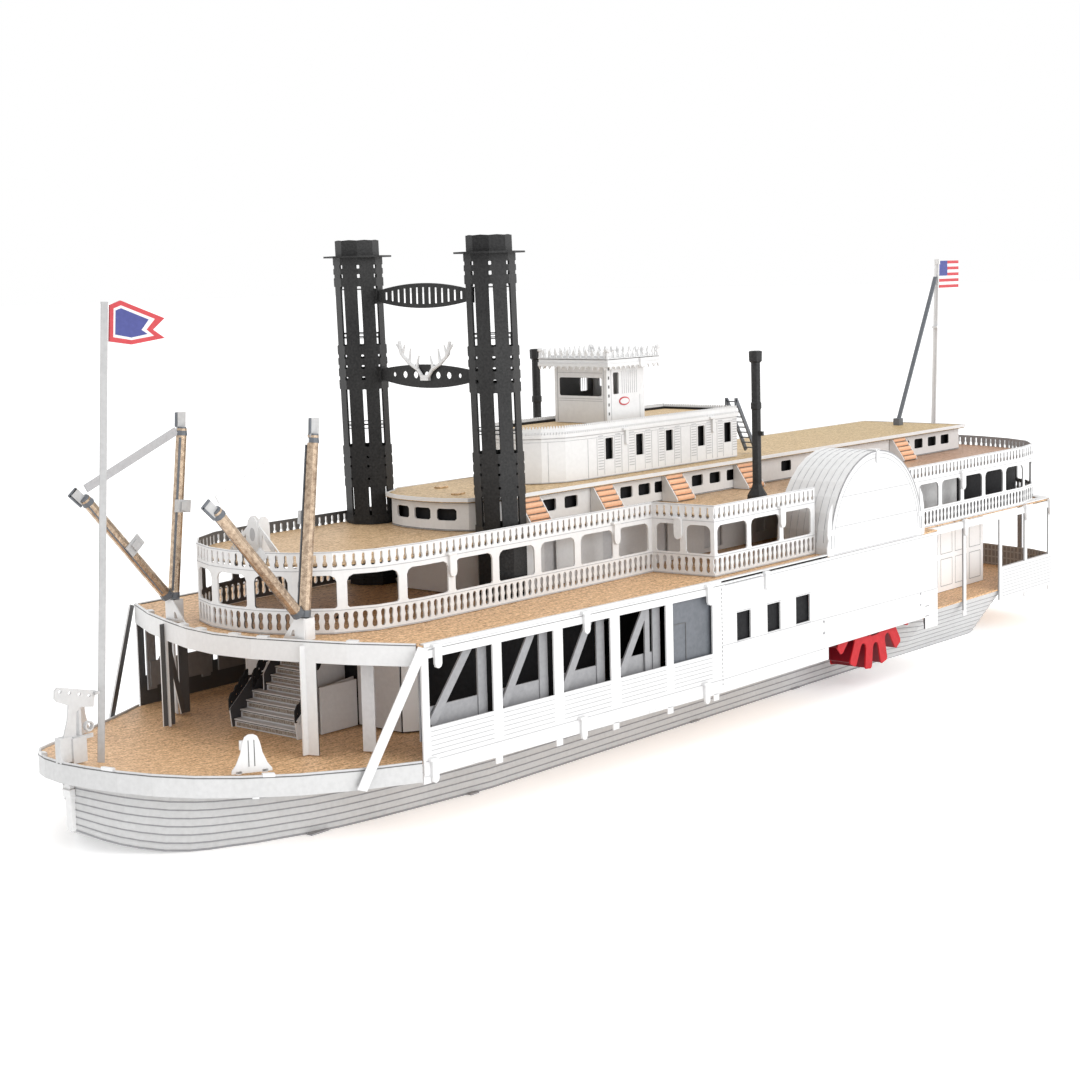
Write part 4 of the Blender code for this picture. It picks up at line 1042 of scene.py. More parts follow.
def paddle_box_trim():
    trim, lines, ribs, arcs, tabs, rivets = blanks(6)
    face = WALL_HALF_BEAM
    crown = BOX_CENTRE_Z + BOX_RADIUS
    arc = 48
    turns = [math.pi * k / arc for k in range(arc + 1)]

    def curve(radius, turns):
        return [(-WHEEL_X + radius * math.cos(t), BOX_CENTRE_Z + radius * math.sin(t))
                for t in turns]

    # Flat bands that follow the arch of the box
    for radius, wide, proud, target in (
            (BOX_RADIUS, 0.55, 0.10, trim), (BOX_RADIUS, 0.24, 0.14, arcs),
            (BOX_RADIUS - 0.55, 0.12, 0.05, lines), (BOX_RADIUS - 1.35, 0.12, 0.04, lines)):
        band = plate(curve(radius, turns) + curve(radius - wide, turns[::-1]))
        add(target, thicken(band, proud + 0.05, proud), on_side(face))
    for z in (27.4, 32.4, 37.9):
        half = math.sqrt((BOX_RADIUS - 1.2) ** 2 - (z - BOX_CENTRE_Z) ** 2)
        bar(lines, (WHEEL_X - half, face, z), (WHEEL_X + half, face, z), (0, 0, 1), 0.11, 0.08)
    # Etched lines that run over the curved roof
    for k in range(7):
        y = BOX_INNER_Y + 1.3 + 1.5 * k
        ribs.faces.new([
            ribs.verts.new((BOX_RADIUS + high, y + side, 0.0))
            for side, high in oblong(-0.03, -0.05, 0.03, 0.03)])
    missing = 0.02 * math.pi
    bmesh.ops.spin(
        ribs, geom=all_of(ribs), cent=(0, 0, 0), axis=(0, -1, 0), angle=math.pi - 2 * missing,
        steps=36)
    bmesh.ops.recalc_face_normals(ribs, faces=ribs.faces)
    bmesh.ops.rotate(
        ribs, cent=(0, 0, 0), matrix=Matrix.Rotation(-missing, 3, "Y"), verts=ribs.verts)
    shift(ribs, WHEEL_X, 0.0, BOX_CENTRE_Z)
    # Tab folded over the crown
    bar(tabs, (WHEEL_X, face - 1.6, crown + 0.1), (WHEEL_X, face + 0.35, crown + 0.1),
        (1, 0, 0), 1.6, 0.3)
    cut = plate([(-0.5, 0), (-0.5, -2.0), (-0.3, -2.6), (0.3, -2.6), (0.5, -2.0), (0.5, 0)])
    add(tabs, thicken(shift(cut, -WHEEL_X, crown + 0.2), 0.3, 0.35), on_side(face))
    # Scrolled shoulders where the box meets the wall
    for hand in (-1, 1):
        scroll = plate([
            (0, 27.2), (0.9, 27.4), (1.0, 29.0), (0.5, 30.2), (0.9, 31.2), (0.8, 33.0),
            (0.2, 35.4), (-0.9, 37.0), (-0.7, 33.0), (-0.5, 29.0)])
        turn = Matrix.Translation((-WHEEL_X + hand * (BOX_RADIUS + 0.1), 0, 0))
        scroll = laid(scroll, turn @ Matrix.Diagonal((hand, 1, 1, 1)))
        add(tabs, thicken(scroll, 0.3, 0.12), on_side(face))
        bar(tabs, (WHEEL_X + hand * 15.6, face + 0.1, 31.6),
            (WHEEL_X + hand * 17.4, face + 0.1, 31.6), (0, 0, 1), 1.0, 0.3)
    # Shaft bearing pressed into the wall, with its rivets
    for x, radius in ((-10.6, 0.22), (-46.6, 0.2)):
        for z in (13.2, 15.4):
            rod(rivets, (x, face - 0.05, z), (x, face + 0.08, z), radius, sides=10)
    bend = [math.pi * (0.5 + k / 10) for k in range(11)]
    hook = [(11.6 + 1.1 * math.cos(t), 14.3 + 1.25 * math.sin(t)) for t in bend]
    hook += [(11.6 + 0.75 * math.cos(t), 14.3 + 0.9 * math.sin(t)) for t in bend[::-1]]
    add(tabs, thicken(plate(hook), 0.15, 0.1), on_side(face))
    both_sides("box_trim", trim, WHITE)
    both_sides("box_lines", lines, FAINT)
    both_sides("box_arch_lines", arcs, SHADOW_GREY)
    both_sides("box_ribs", ribs, FAINT)
    both_sides("box_tabs", tabs, WHITE, bevel=0.06)
    both_sides("box_rivets", rivets, SHADOW_GREY)


def paddle_wheels():
    """Two cut side plates, a board folded across at each arm, spokes and hub."""
    arms, ring_in, ring_out, tip = 18, 10.9, 12.3, 17.2
    half = math.pi / arms

    def at(radius, turn):
        return (radius * math.cos(turn), radius * math.sin(turn))

    def all_arms(bm):
        """Turns one arm's metal round the shaft."""
        bmesh.ops.spin(
            bm, geom=all_of(bm), cent=(0, 0, 0), axis=(0, 0, 1),
            angle=2 * math.pi * (arms - 1) / arms, steps=arms - 1, use_duplicate=True)
        bmesh.ops.remove_doubles(bm, verts=bm.verts, dist=0.001)
        return bm

    arm = [(ring_out + 0.25, 0.118), (ring_out + 0.9, 0.096), (16.7, 0.075), (tip, 0.055)]
    cell = [at(ring_in, -half), at(ring_in, 0.0), at(ring_in, half), at(ring_out, half)]
    cell += [at(r, t) for r, t in arm] + [at(r, -t) for r, t in reversed(arm)]
    cell += [at(ring_out, -half)]
    for side, name in ((1, "port"), (-1, "starboard")):
        stand = Matrix.Translation((WHEEL_X, side * WHEEL_Y, WHEEL_Z)) @ lengthwise()
        stand = stand @ Matrix.Rotation(WHEEL_TURN, 4, "Z")
        wheel, hub, boards = blanks(3)
        for out in (4.0, -3.7):
            add(wheel, thicken(all_arms(plate(cell)), 0.3, out), stand)
            root, end = (1.0, 0.0, out - 0.15), (ring_in + 0.2, 0.0, out - 0.15)
            add(wheel, all_arms(bar(bmesh.new(), root, end, (0, 1, 0), 0.7, 0.28)), stand)
        corners = 20
        bmesh.ops.create_circle(
            hub, cap_ends=False, segments=corners, radius=1.2,
            matrix=Matrix.Translation((0, 0, -4.0)))
        bmesh.ops.extrude_edge_only(hub, edges=hub.edges[:])
        bmesh.ops.translate(hub, vec=(0, 0, 8.0), verts=hub.verts[corners:])
        bmesh.ops.solidify(hub, geom=hub.faces[:], thickness=0.35)
        bmesh.ops.recalc_face_normals(hub, faces=hub.faces)
        add(wheel, hub, stand)
        body = name + "_wheel"
        finished(body + "_plates", wheel, RED, [name + "_paddle_wheel"], body=body)
        # Boards between the side plates in the darkened red: painted shade
        bar(boards, (12.5, 1.0, 0.0), (16.95, 1.0, 0.0), (0, 0, 1), 7.38, 0.26)
        finished(body + "_boards", laid(all_arms(boards), stand), RED_SHADE, body=body)


paddle_box_trim()
paddle_wheels()


# Bow fittings

def jackstaff():
    """Strip folded lengthwise, its ridge forward."""
    bm = bmesh.new()
    for hand in (-1, 1):
        bar(bm, (126.1, hand * 0.36, 10.9), (121.6, hand * 0.36, 78.5),
            (0.62, -hand * 0.78, 0.0), 0.95, 0.22)
    block(bm, (126.1, -1.0, 22.6), (126.9, 1.0, 23.0))
    # The staff's white is darkened as painted shade
    finished("jackstaff_angle", bm, PAINTED_SHADE_WHITE, ["jackstaff"])
    # Burgee: red border, white line and blue field, bare of any letters
    outline = [(120.9, 72.8), (120.5, 78.0), (118.6, 78.6), (110.8, 75.8), (113.0, 74.2),
               (110.9, 72.9), (117.0, 72.2)]
    border = [(120.2, 73.4), (119.9, 77.5), (118.6, 77.9), (112.6, 75.75), (114.2, 74.25),
              (112.9, 73.3), (117.0, 72.85)]
    field = [(119.85, 73.75), (119.6, 77.2), (118.6, 77.5), (113.7, 75.7), (115.1, 74.25),
             (114.0, 73.6), (117.0, 73.2)]
    for name, cut, paint, stands_for in (
            ("border", plate(outline, border), FLAG_RED, ["burgee"]),
            ("line", plate(border, field), WHITE, ()), ("field", plate(field), FLAG_BLUE, ())):
        finished("burgee_" + name, laid(thicken(cut, 0.3, 0.15), lengthwise()), paint, stands_for)


def bow_bitts():
    bm, ring = blanks(2)
    head = [(126.9, 20.8), (129.2, 21.2), (129.9, 20.6), (130.2, 17.2), (132.3, 17.2),
            (131.5, 19.6), (131.2, 21.8), (133.0, 22.6), (133.5, 23.1), (133.4, 24.3),
            (132.9, 24.7), (126.5, 23.1)]
    holes = [
        ellipse(x, 24.0 - 0.29 * (132.5 - x), 0.3, 0.24, 8) for x in (127.6, 129.25, 130.9, 132.5)]
    add(bm, thicken(plate(head, *holes), 0.3, 0.45), lengthwise())
    # Folded feet under the head
    for low, high in (
            ((131.0, -0.7, 13.7), (133.0, 0.6, 17.3)), ((128.7, -0.9, 13.35), (131.05, 0.9, 17.0)),
            ((128.9, -0.9, 16.8), (129.3, 0.1, 21.2)), ((127.0, -0.1, 16.4), (128.7, 0.2, 17.0))):
        block(bm, low, high)
    bmesh.ops.create_cone(ring, cap_ends=False, segments=14, radius1=0.75, radius2=0.75, depth=0.7)
    bmesh.ops.solidify(ring, geom=ring.faces[:], thickness=0.22)
    bmesh.ops.recalc_face_normals(ring, faces=ring.faces)
    add(bm, ring, Matrix.Translation((127.9, 0.35, 18.2)) @ Matrix.Rotation(math.pi / 2, 4, "X"))
    # The white bitts take the hull grey as painted shade
    finished("bow_bitts_sheet", bm, HULL_GREY_AND_BOW_SHADE, ["bow_bitts"])


def kevels():
    half = [(2.95, 0.0), (2.9, 0.45), (2.3, 1.2), (1.6, 2.8), (1.25, 4.4), (0.9, 5.2), (0.35, 5.5)]
    outline = half + [(-a, b) for a, b in reversed(half)]
    sheet = thicken(plate(outline), 0.3, 0.15)
    lines = bmesh.new()
    for a in (-0.42, 0.42):
        score(lines, a, 0.9, a, 4.7, 0.12)
    shift(lines, w=0.15)
    for x in (-1.9, 1.9):
        block(sheet, (x - 0.4, -0.1, -0.5), (x + 0.4, 0.35, 0.15))
    block(sheet, (-1.6, 3.3, -0.75), (-1.05, 4.6, -0.1))
    turn = Matrix((
        (-0.86, 0, 0.5, 114.6), (0.5, 0, 0.86, 19.9), (0, 1, 0, DECK_MAIN + 0.4 + rise(115.5)),
        (0, 0, 0, 1)))
    both_sides("kevel_sheet", laid(sheet, turn), WHITE, "kevel")
    both_sides("kevel_lines", laid(lines, turn), ETCHED)


def bell_stand():
    """Round topped folded stand inside the front rail, with its slanted stays."""
    bm, disc = blanks(2)
    foot = DECK_HURRICANE + 0.1
    top = [(-1.2, foot), (1.2, foot), (1.2, 43.0), (1.0, 44.0), (0.45, 44.6), (-0.45, 44.6),
           (-1.0, 44.0), (-1.2, 43.0)]
    add(bm, thicken(plate(top), 0.25, 95.5), athwart(0.0))
    for hand in (-1, 1):
        add(bm, thicken(plate(top), 0.25, 0.12), lengthwise(hand * 1.15, 94.2))
        stay = plate(
            [(1.1, 43.4), (1.1, foot), (6.0, foot), (5.6, 39.4)],
            [(1.9, 41.9), (1.9, 39.4), (3.9, 39.4)],
            [(4.5, 39.6), (4.9, 39.2), (5.2, 39.6), (4.9, 40.0)])
        stay = laid(stay, Matrix.Diagonal((hand, 1, 1, 1)))
        add(bm, thicken(stay, 0.25, 95.2), athwart(0.0))
    finished("bell_stand", bm, WHITE)
    bmesh.ops.create_circle(disc, cap_ends=True, segments=20, radius=0.7)
    bmesh.ops.scale(disc, vec=(0.8, 1.5, 1.0), verts=disc.verts)
    mark = thicken(shift(disc, 0.0, 41.9), 0.08, 0.05)
    finished("bell_mark", laid(mark, athwart(95.5)), FAINT)


def derricks():
    fittings, clips, dark = blanks(3)
    y = 15.2
    clip_y, edge_y = y + 0.2, y + 0.25
    # Rod ends: foot, head
    rods = (
        ("mast", (99.2, y, 31.2), (96.1, y, 57.9)), ("boom", (100.4, y, 31.6), (115.3, y, 48.7)))
    for _, low, high in rods:
        low, high = Vector(low), Vector(high)
        run = (high - low).normalized()
        rod(dark, high - run * 1.1, high + run * 0.25, 1.0, 0.75, 10)
        rod(dark, low - run * 0.1, low + run * 0.9, 0.98, sides=10)
        # Dark edge of the fold along the rod
        off = Vector((run.z * 0.66, -0.62, -run.x * 0.2))
        bar(dark, low + run * 1.2 + off, high - run * 1.4 + off, (run.z, 0, -run.x), 0.5, 0.16)
    # Clips at the ends of the stay
    bar(clips, (96.1, clip_y, 57.6), (95.9, clip_y, 60.5), (1, 0, 0), 1.7, 0.25)
    bar(dark, (97.0, edge_y, 58.2), (96.85, edge_y, 60.5), (1, 0, 0), 0.3, 0.35)
    bar(clips, (115.3, clip_y, 48.2), (117.2, clip_y, 49.9), (-0.7, 0, 0.7), 1.6, 0.25)
    bar(dark, (115.8, edge_y, 47.5), (117.9, edge_y, 49.4), (-0.7, 0, 0.7), 0.32, 0.35)
    bar(dark, (117.95, edge_y, 49.3), (116.6, edge_y, 50.4), (0.7, 0, 0.7), 0.32, 0.35)
    # Collars half way along, on the inner side
    for (x, z), (u, v) in (((97.3, 45.7), (-0.12, 1.0)), ((107.0, 40.6), (0.65, 0.75))):
        for part, depth, wide, thick in ((1.0, 0.95, 3.0, 0.3), (0.7, 1.2, 1.2, 0.5)):
            bar(clips, (x - u * part, y - depth, z - v * part),
                (x + u * part, y - depth, z + v * part), (v, 0, -u), wide, thick)
    # Folded foot, its front plate wide towards the middle
    foot = DECK_BOILER + 0.1
    block(fittings, (98.0, y - 0.9, foot), (100.0, y + 0.9, 30.9))
    gusset = plate(
        [(11.4, foot), (16.1, foot), (16.1, 31.0), (14.3, 31.0)],
        [(13.1, foot + 0.5), (14.0, foot + 0.5), (14.0, foot + 1.5), (13.6, foot + 1.5)])
    add(fittings, thicken(gusset, 0.25, 100.2), athwart(0.0))
    for name, low, high in rods:
        both_sides("derrick_%s_bar" % name, rod(bmesh.new(), low, high, 0.92, 0.86, 10), COPPER,
                   "derrick_" + name)
    both_sides("derrick_fittings", fittings, WHITE, "derrick_foot")
    both_sides("derrick_caps", dark, CASING)
    # The clips' white is darkened as painted shade
    both_sides("derrick_clips", clips, PAINTED_SHADE_WHITE)


def grand_stair():
    # Step front x, top z, half width
    steps = (
        (94.2, 11.7, 7.5), (92.9, 13.0, 7.5), (91.6, 14.3, 7.5), (90.3, 15.6, 7.5),
        (89.0, 16.8, 5.5), (88.0, 18.0, 5.5), (87.0, 19.2, 5.5), (86.0, 20.4, 5.5),
        (85.0, 21.6, 5.5), (84.0, 22.8, 5.5), (83.1, 24.0, 5.5))
    treads, inlays, shades, rails, panels, edges, casing = blanks(7)
    below = DECK_MAIN + 0.1
    backs = [x for x, _, _ in steps[1:]] + [82.3]
    for (x, z, half), back in zip(steps, backs):
        block(treads, (back - 0.2, -half, z - 0.22), (x + 0.1, half, z))
        block(treads, (x - 0.3, -half, below), (x - 0.05, half, z - 0.2))
        # Dark strip under each tread's nose: painted shadow
        block(shades, (x - 0.25, -half + 0.05, z - 0.36), (x, half - 0.05, z - 0.2))
        block(inlays, (x - 0.25, -half + 0.45, below + 0.22), (x, half - 0.45, z - 0.5))
        below = z
    # Cheeks of the lower and upper flights
    low = [(82.3, DECK_MAIN + 0.1), (94.6, DECK_MAIN + 0.1), (95.0, 13.4), (90.3, 17.6),
           (88.6, 17.6), (82.3, 18.2)]
    high = [(82.3, 15.0), (89.4, 15.0), (89.4, 18.3), (83.0, 26.2), (82.3, 26.2)]
    # Pierced scroll rails: cell, its hole, count, breadth, foot, foremost x, slope
    pitch = 1.05
    scroll = [
        (0, 0.5), (0.18, 0.12), (0.52, 0.0), (0.87, 0.12), (pitch, 0.5), (pitch, 2.0),
        (0.87, 2.45), (0.52, 2.6), (0.18, 2.45), (0, 2.0)]
    short = [
        (0, 0.3), (0.3, 0.0), (0.75, 0.0), (pitch, 0.3), (pitch, 2.1), (0.52, 2.5), (0, 2.1)]
    flights_of_rail = (
        (scroll, [(0.3, 1.0), (0.75, 1.0), (0.62, 1.6), (0.42, 1.6)], 9, 5.9, 16.0, 91.6, 1.16),
        (short, [(0.3, 0.8), (0.75, 0.8), (0.52, 1.5)], 4, 7.7, 12.8, 95.0, 1.0))
    for hand in (-1, 1):
        for cheek, y in ((low, 7.62), (high, 5.62)):
            add(panels, thicken(plate(cheek), 0.25), lengthwise(hand * y))
        for cell, hole, count, y, foot, x, slope in flights_of_rail:
            rail = thicken(row(plate(cell, hole), count, pitch), 0.25)
            for vert in rail.verts:
                vert.co.y += foot + vert.co.x * slope
            add(rails, rail, lengthwise(hand * y, x, -1))
        # Light edge lines on the cheeks
        y = hand * 7.75
        for start, end in (((90.3, 17.3), (94.8, 13.3)), ((90.0, 16.6), (94.3, 12.8)),
                           ((82.6, 17.9), (88.6, 17.3))):
            bar(edges, (start[0], y, start[1]), (end[0], y, end[1]), (0, 0, 1), 0.22, 0.1)
        # Casing walls beside the stair
        bar(casing, (82.6, hand * 8.4, 14.2), (90.4, hand * 8.4, 14.2), (0, 0, 1), 7.4, 0.25)
        bar(casing, (82.25, hand * 8.6, 18.7), (82.25, hand * 17.8, 18.7), (0, 0, 1), 16.2, 0.25)
    finished("stair_treads", treads, STAIR, ["grand_stair"])
    finished("stair_inlays", inlays, INLAY_AND_GAP_SHADE)
    finished("stair_shades", shades, DARK)
    finished("stair_cheeks", panels, CHEEK)
    finished("stair_rails", rails, DARK)
    finished("stair_cheek_lines", edges, STAIR)
    finished("stair_casing", casing, CHEEK)


def gallery_posts():
    """Posts and struts inside the rail round the bow."""
    post, flanges = blanks(2)
    for bm, x, y, across, wide, thick in (
            (post, 93.8, 22.6, (-0.43, 0.9, 0.0), 2.0, 0.3),
            (flanges, 100.3, 16.3, (1, 0, 0), 2.3, 0.25),
            (flanges, 92.9, 21.4, (1, 0, 0), 2.0, 0.25)):
        bar(bm, (x, y, 10.6), (x, y, 27.1), across, wide, thick)
    both_sides("gallery_inner_post", post, STAIR)
    both_sides("gallery_post_flanges", flanges, SHEET_WHITE)
    strut = bar(bmesh.new(), (99.6, -17.4, 26.0), (93.6, -21.0, 10.8), (1, 0, 0), 0.9, 0.25)
    finished("starboard_gallery_strut", strut, SHEET_WHITE)


def cabin_work():
    """White panelled sides aft, walls behind the arcades and the boiler casings."""
    lines, back, side, blinds, corner, casings = blanks(6)
    foot, head = DECK_MAIN + 0.1, 27.0
    middle, high = 18.7, 16.2
    panels = laid(thicken(plate(oblong(50.0, foot, 95.8, head)), 0.25, 0.27), on_side(24.2))
    for k in range(7):
        u0 = 51.0 + 6.4 * k
        u1 = u0 + 5.0
        for v0, v1 in ((11.6, 17.4), (18.6, 26.2)):
            for ends in ((u0, v0, u0, v1), (u1, v0, u1, v1), (u0, v0, u1, v0), (u0, v1, u1, v1)):
                score(lines, *ends, 0.14)
    # Panelled sides here and the aft end below: white brightened as painted light
    both_sides("cabin_aft_side", panels, PAINTED_LIGHT_WHITE)
    both_sides("cabin_aft_lines", laid(lines, on_side(24.48)), FAINT)
    bar(back, (-96.2, -24.0, middle), (-96.2, 24.0, middle), (0, 0, 1), high, 0.25)
    finished("cabin_aft_end", back, PAINTED_LIGHT_WHITE)
    # Light wall behind the forward stern openings and along the saloon
    bar(side, (-53.0, 29.6, 32.8), (-74.0, 29.6, 32.8), (0, 0, 1), 10.0, 0.25)
    # This wall's white is darkened as painted shade
    both_sides("stern_light_wall", side, PAINTED_SHADE_WHITE)
    bar(blinds, (46.0, 14.3, 33.0), (-102.0, 14.3, 33.0), (0, 0, 1), 9.4, 0.2)
    both_sides("saloon_blinds", blinds, STAIR)
    nose = [(48.6, -15.2), (56.8, -5.6), (56.8, 5.6), (48.6, 15.2)]
    # Saloon front in white brightened as painted light
    finished("saloon_front", wall(nose, 27.7, 37.9, (), 0.0, 0.25, 0.2), PAINTED_LIGHT_WHITE)
    # Plates on the slanted front corners of the cabin
    bar(corner, (82.2, 18.15, middle), (79.2, 20.0, middle), (0, 0, 1), high, 0.25)
    # Corner plates in white brightened as painted light
    both_sides("cabin_corner_plate", corner, PAINTED_LIGHT_WHITE)
    # Boiler casings below the funnels: radius, height, middle
    for radius, tall, z in ((4.3, 10.2, 32.7), (4.6, 0.4, 28.6), (4.6, 0.4, 36.8)):
        place = Matrix.Translation((FUNNEL_X, FUNNEL_Y, z))
        bmesh.ops.create_cone(
            casings, cap_ends=True, segments=8, radius1=radius, radius2=radius, depth=tall,
            matrix=place @ Matrix.Rotation(math.pi / 8, 4, "Z"))
    both_sides("boiler_casing", casings, BLACK)


def stern_work():
    # Dark inner wall round the stern of the boiler deck, its near black painted shade
    screen = around_stern([
        (-75.0, 29.5), (-98.0, 29.3), (-104.5, 27.9), (-109.5, 24.4), (-112.8, 18.9),
        (-115.2, 11.0), (-116.2, 0.0)])
    finished("stern_inner_wall", wall(screen, 27.8, 37.9, (), 0.0, 0.25), DARK)
    # White rim of the boiler deck outside the stern arcade
    edge = plate([
        (97.0, 32.95), (111.85, 32.75), (115.4, 26.4), (118.25, 13.9), (119.3, 2.0),
        (117.2, 2.0), (116.2, 13.2), (113.3, 25.3), (110.4, 30.6), (97.0, 30.9)])
    margin = laid(thicken(edge, 0.2, 27.8), Matrix.Diagonal((-1, 1, 1, 1)))
    both_sides("stern_deck_margin", margin, WHITE)
    # Siding, tabs and lattice of the stern gallery, by length along its path
    siding, tabs, lattice = blanks(3)
    path = around_stern(STERN)
    total = marks_of(path)[-1]
    start = STERN[0][0] + 88.0
    for k in range(9):
        rule(siding, 14.3 - 0.7 * k, total, 0.11, start)
    for x in (-71.0, -99.3, -111.0):
        for u in (STERN[0][0] - x, total - (STERN[0][0] - x)):
            tongue(tabs, u, 27.0, 3.1, 1.3, 0.5, curl=0.5)
            skirt_foot(tabs, u, 0.7)
    low, high, gap = 9.0, 15.0, 1.1
    for v in (low, 10.6, 12.2, 13.8, high):
        rule(lattice, v, total, 0.3, start)
    for k in range(int((total - 2 * start) / gap)):
        score(lattice, start + gap * k, low, start + gap * k, high, 0.3)
    shift(lattice, w=-0.32)
    # The lattice's white is darkened as painted shade
    finished("stern_lattice", follow(lattice, path), PAINTED_SHADE_WHITE)
    finished("stern_siding", follow(siding, path), FAINT)
    finished("stern_tabs", follow(tabs, path), WHITE, bevel=0.06)


jackstaff()
bow_bitts()
kevels()
bell_stand()
derricks()
grand_stair()
gallery_posts()
cabin_work()
stern_work()


# Funnel braces

def funnel_braces():
    bm, horns = blanks(2)
    span = FUNNEL_Y - 4.1
    upper, lower = 77.7, 64.3
    arc = [-1.0 + k / 8.0 for k in range(17)]

    def brace(z, above, below, cuts):
        """Flat lens between the funnels, with its cutouts."""
        top = [(span * t, 0.8 + above * (1 - t * t)) for t in arc]
        bottom = [(span * t, -0.8 - below * (1 - t * t)) for t in reversed(arc)]
        sheet = shift(thicken(plate(top + bottom, *cuts)), 0.0, z)
        add(bm, sheet, athwart(FUNNEL_X + funnel_lean(z) + 0.15))
        for hand in (-1, 1):
            x, y = FUNNEL_X + funnel_lean(z), hand * (span - 0.35)
            block(bm, (x - 0.5, y - 0.35, z - 1.3), (x + 0.5, y + 0.35, z + 1.3))

    # Upright slots above, round holes below
    slots = []
    for k in range(-6, 7):
        u = k * 1.45
        h = 0.15 + 1.25 * (1 - (u / span) ** 2)
        slots.append(oblong(u - 0.32, -h, u + 0.32, h))
    brace(upper, 1.3, 1.3, slots)
    brace(lower, 1.0, 1.4, [
        ellipse(u, 0.0, r, r, 10) for u, r in (
            (-7.6, 0.42), (-5.1, 0.62), (-2.6, 0.62), (0.0, 0.62), (2.6, 0.62), (5.1, 0.62),
            (7.6, 0.42))])
    finished("funnel_brace_plates", bm, BLACK, ["upper_funnel_brace", "lower_funnel_brace"])
    # White antlers on the lower brace
    x = FUNNEL_X + funnel_lean(66.0) + 0.45
    beam = [(0.5, 63.8), (1.7, 65.3), (3.6, 66.3), (5.4, 67.8), (5.9, 70.0)]
    tines = (((1.9, 65.4), (1.3, 67.6)), ((3.6, 66.3), (3.2, 68.8)), ((5.2, 67.6), (4.6, 69.4)),
             ((5.5, 68.4), (6.6, 69.5)))
    for hand in (-1, 1):
        for ends, thick, thin in ((zip(beam, beam[1:]), 0.36, 0.3), (tines, 0.3, 0.14)):
            for (a, b), (c, d) in ends:
                rod(horns, (x, hand * a, b), (x, hand * c, d), thick, thin, 8)
    block(horns, (x - 0.35, -0.9, 63.4), (x + 0.3, 0.9, 64.3))
    finished("brace_antlers", horns, WHITE, smooth=True)


funnel_braces()


# Flags, staff and pipes aft

def steam_pipes():
    pipe = bmesh.new()
    # Height and radius
    levels = (
        (DECK_HURRICANE + 0.1, 1.9), (39.2, 1.85), (40.4, 1.15), (41.2, 0.85), (55.0, 0.85),
        (55.2, 1.0), (56.2, 1.0), (56.4, 0.85), (63.6, 0.85), (63.9, 1.2), (65.7, 1.25),
        (65.8, 0.9))
    for (low, r0), (high, r1) in zip(levels, levels[1:]):
        bmesh.ops.create_cone(
            pipe, cap_ends=False, segments=8, radius1=r0, radius2=r1, depth=high - low,
            matrix=Matrix.Translation((-4.0, 26.5, (low + high) / 2)))
    bmesh.ops.remove_doubles(pipe, verts=pipe.verts, dist=0.002)
    bmesh.ops.holes_fill(pipe, edges=pipe.edges, sides=8)
    bmesh.ops.recalc_face_normals(pipe, faces=pipe.faces)
    block(pipe, (-4.2, 27.2, 50.2), (-3.6, 28.0, 51.0))
    both_sides("steam_pipe_sheet", pipe, BLACK, "steam_pipe")


def ensign_work():
    staff, stay, flag = blanks(3)
    for hand in (-1, 1):
        bar(staff, (-118.0, hand * 0.22, DECK_HURRICANE + 0.1), (-120.3, hand * 0.22, 81.8),
            (0.6, hand * 0.8, 0), 0.95, 0.2)
    block(staff, (-120.3, -0.7, 65.6), (-118.6, 0.7, 66.0))
    block(staff, (-118.9, -0.8, DECK_HURRICANE + 0.1), (-117.4, 0.8, 41.6))
    block(staff, (-120.9, -0.35, 80.6), (-119.9, 0.35, 81.8))
    finished("ensign_staff_angle", staff, WHITE, ["ensign_staff"])
    bar(stay, (-119.3, 0.0, 77.6), (-101.4, 0.0, 44.6), (0, 1, 0), 0.9, 0.4)
    block(stay, (-102.3, -0.8, 43.8), (-100.6, 0.8, 45.4))
    finished("ensign_stay_strip", stay, CASING, ["ensign_stay"])
    # Striped ensign with a plain blue corner
    stripes, long, high = 9, 9.4, 6.4
    middle = 78.2
    bmesh.ops.create_grid(flag, x_segments=12, y_segments=stripes, size=0.5)
    turn = Matrix(((-long, 0, 0, -125.6), (0, 0, 1, 0), (0, high, 0, middle), (0, 0, 0, 1)))
    bmesh.ops.transform(flag, matrix=turn, verts=flag.verts)
    for face in flag.faces:
        centre = face.calc_center_median()
        band = int((middle + high / 2 - centre.z) / high * stripes)
        face.material_index = 2 if centre.x > -125.0 and band < 5 else band % 2
    thicken(flag, way=(0.0, 1.0, 0.0))
    shift(flag, v=-SHEET / 2)
    finished("ensign_sheet", flag, [FLAG_RED, WHITE, FLAG_BLUE], ["ensign"])


steam_pipes()
ensign_work()


# Paint for the nodes that keep their own shape

COATS = (
    ("main_deck boiler_deck", DECK),
    ("low_house_roof texas_roof", LOW_ROOF),
    ("hurricane_deck", ROOF),
    ("steps_1 steps_2 steps_3 steps_4 steps_5", TREAD),
    ("shaft", SHADOW_GREY),
    ("mast boom", COPPER),
    ("paddle_wheel", RED),
    ("steam_pipe funnel funnel_brace", BLACK),
    # Near black on the cabin's inside is painted shade
    ("main_cabin grand_stair ensign_stay", DARK),
    ("burgee", FLAG_RED),
    ("ensign", FLAG_BLUE),
    ("side_wall bow_gallery diagonal_brace", SHEET_WHITE),
    ("stern_gallery", STERN_SHEET),
    # The far derrick stay is a white plate, grey here as painted shade
    ("starboard_derrick_stay", FAINT),
    # The white bow guard takes the hull grey as painted shade
    ("bow_guard", HULL_GREY_AND_BOW_SHADE))
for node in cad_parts:
    coats = [paint for ends, paint in COATS if node.endswith(tuple(ends.split()))]
    repaint(node, coats[0] if coats else WHITE)


# Studio

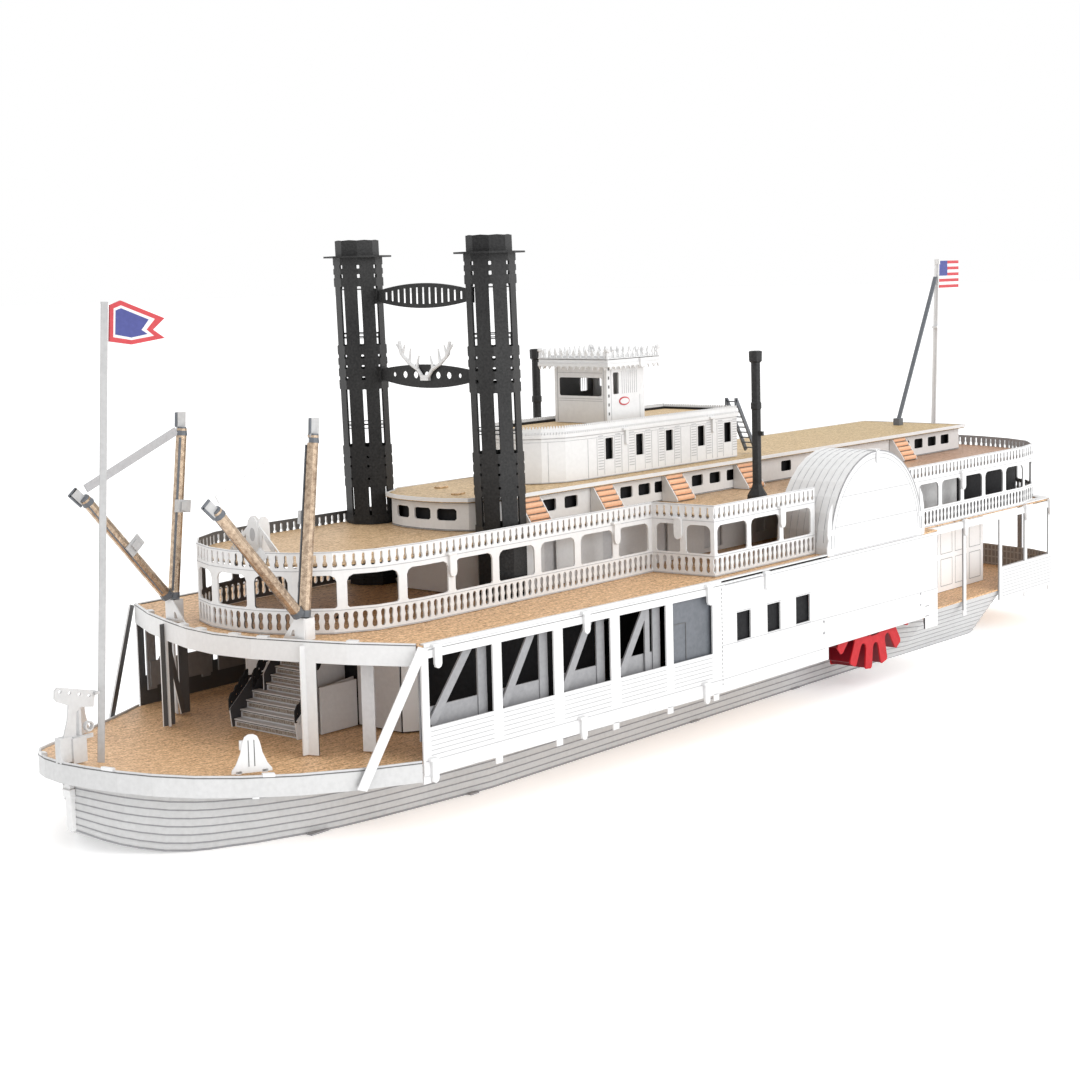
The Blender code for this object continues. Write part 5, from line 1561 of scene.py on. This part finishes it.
def studio():
    bm = bmesh.new()
    bmesh.ops.create_grid(bm, x_segments=1, y_segments=1, size=6.0)
    mesh = bpy.data.meshes.new("floor")
    bm.to_mesh(mesh)
    bm.free()
    mesh.materials.append(painted_steel(
        "pale_floor", None, grey(0.95), grey(0.93), 0.9, grain=30.0, bump=0.0, glow=0.3))
    floor = bpy.data.objects.new("floor", mesh)
    bpy.context.scene.collection.objects.link(floor)
    world = bpy.data.worlds.new("white_room")
    world.use_nodes = True
    background = world.node_tree.nodes["Background"]
    background.inputs["Color"].default_value = (1.0, 1.0, 1.0, 1.0)
    background.inputs["Strength"].default_value = 1.0
    bpy.context.scene.world = world
    # Soft boxes: place in metres and power, both aimed at the boat's middle
    aim, wide = Vector((0.0, 0.0, 0.03)), 0.7
    boxes = (((-0.10, 0.85, 0.45), 4.2), ((0.10, -0.10, 0.95), 1.2))
    for number, (place, power) in enumerate(boxes):
        lamp = bpy.data.lights.new("soft_box_%d" % number, "AREA")
        lamp.shape = "SQUARE"
        lamp.size = wide
        lamp.energy = power
        thing = bpy.data.objects.new("soft_box_%d" % number, lamp)
        thing.location = place
        thing.rotation_euler = (aim - Vector(place)).to_track_quat("-Z", "Y").to_euler()
        bpy.context.scene.collection.objects.link(thing)


def camera():
    """Camera at the photograph's place, with its roll and lens."""
    place = (0.29025, 0.22668, 0.08121)
    seen = Vector((-0.75682, -0.64593, -0.10001)).normalized()
    roll = math.radians(-1.44)
    focal_pixels, frame_pixels, sensor = 1935.48, 1080.0, 36.0
    right = seen.cross(Vector((0, 0, 1))).normalized()
    up = right.cross(seen)
    across = right * math.cos(roll) + up * math.sin(roll)
    above = up * math.cos(roll) - right * math.sin(roll)
    lens = bpy.data.cameras.new("photo_camera")
    lens.sensor_fit = "HORIZONTAL"
    lens.sensor_width = sensor
    lens.lens = focal_pixels / frame_pixels * sensor
    lens.shift_y = -0.0683
    lens.clip_start = 0.01
    lens.clip_end = 30.0
    thing = bpy.data.objects.new("photo_camera", lens)
    turn = Matrix((across, above, -seen)).transposed().to_4x4()
    turn.translation = place
    thing.matrix_world = turn
    bpy.context.scene.collection.objects.link(thing)
    bpy.context.scene.camera = thing


studio()
camera()
bpy.context.scene.view_settings.view_transform = "Standard"
bpy.context.scene.view_settings.look = "None"
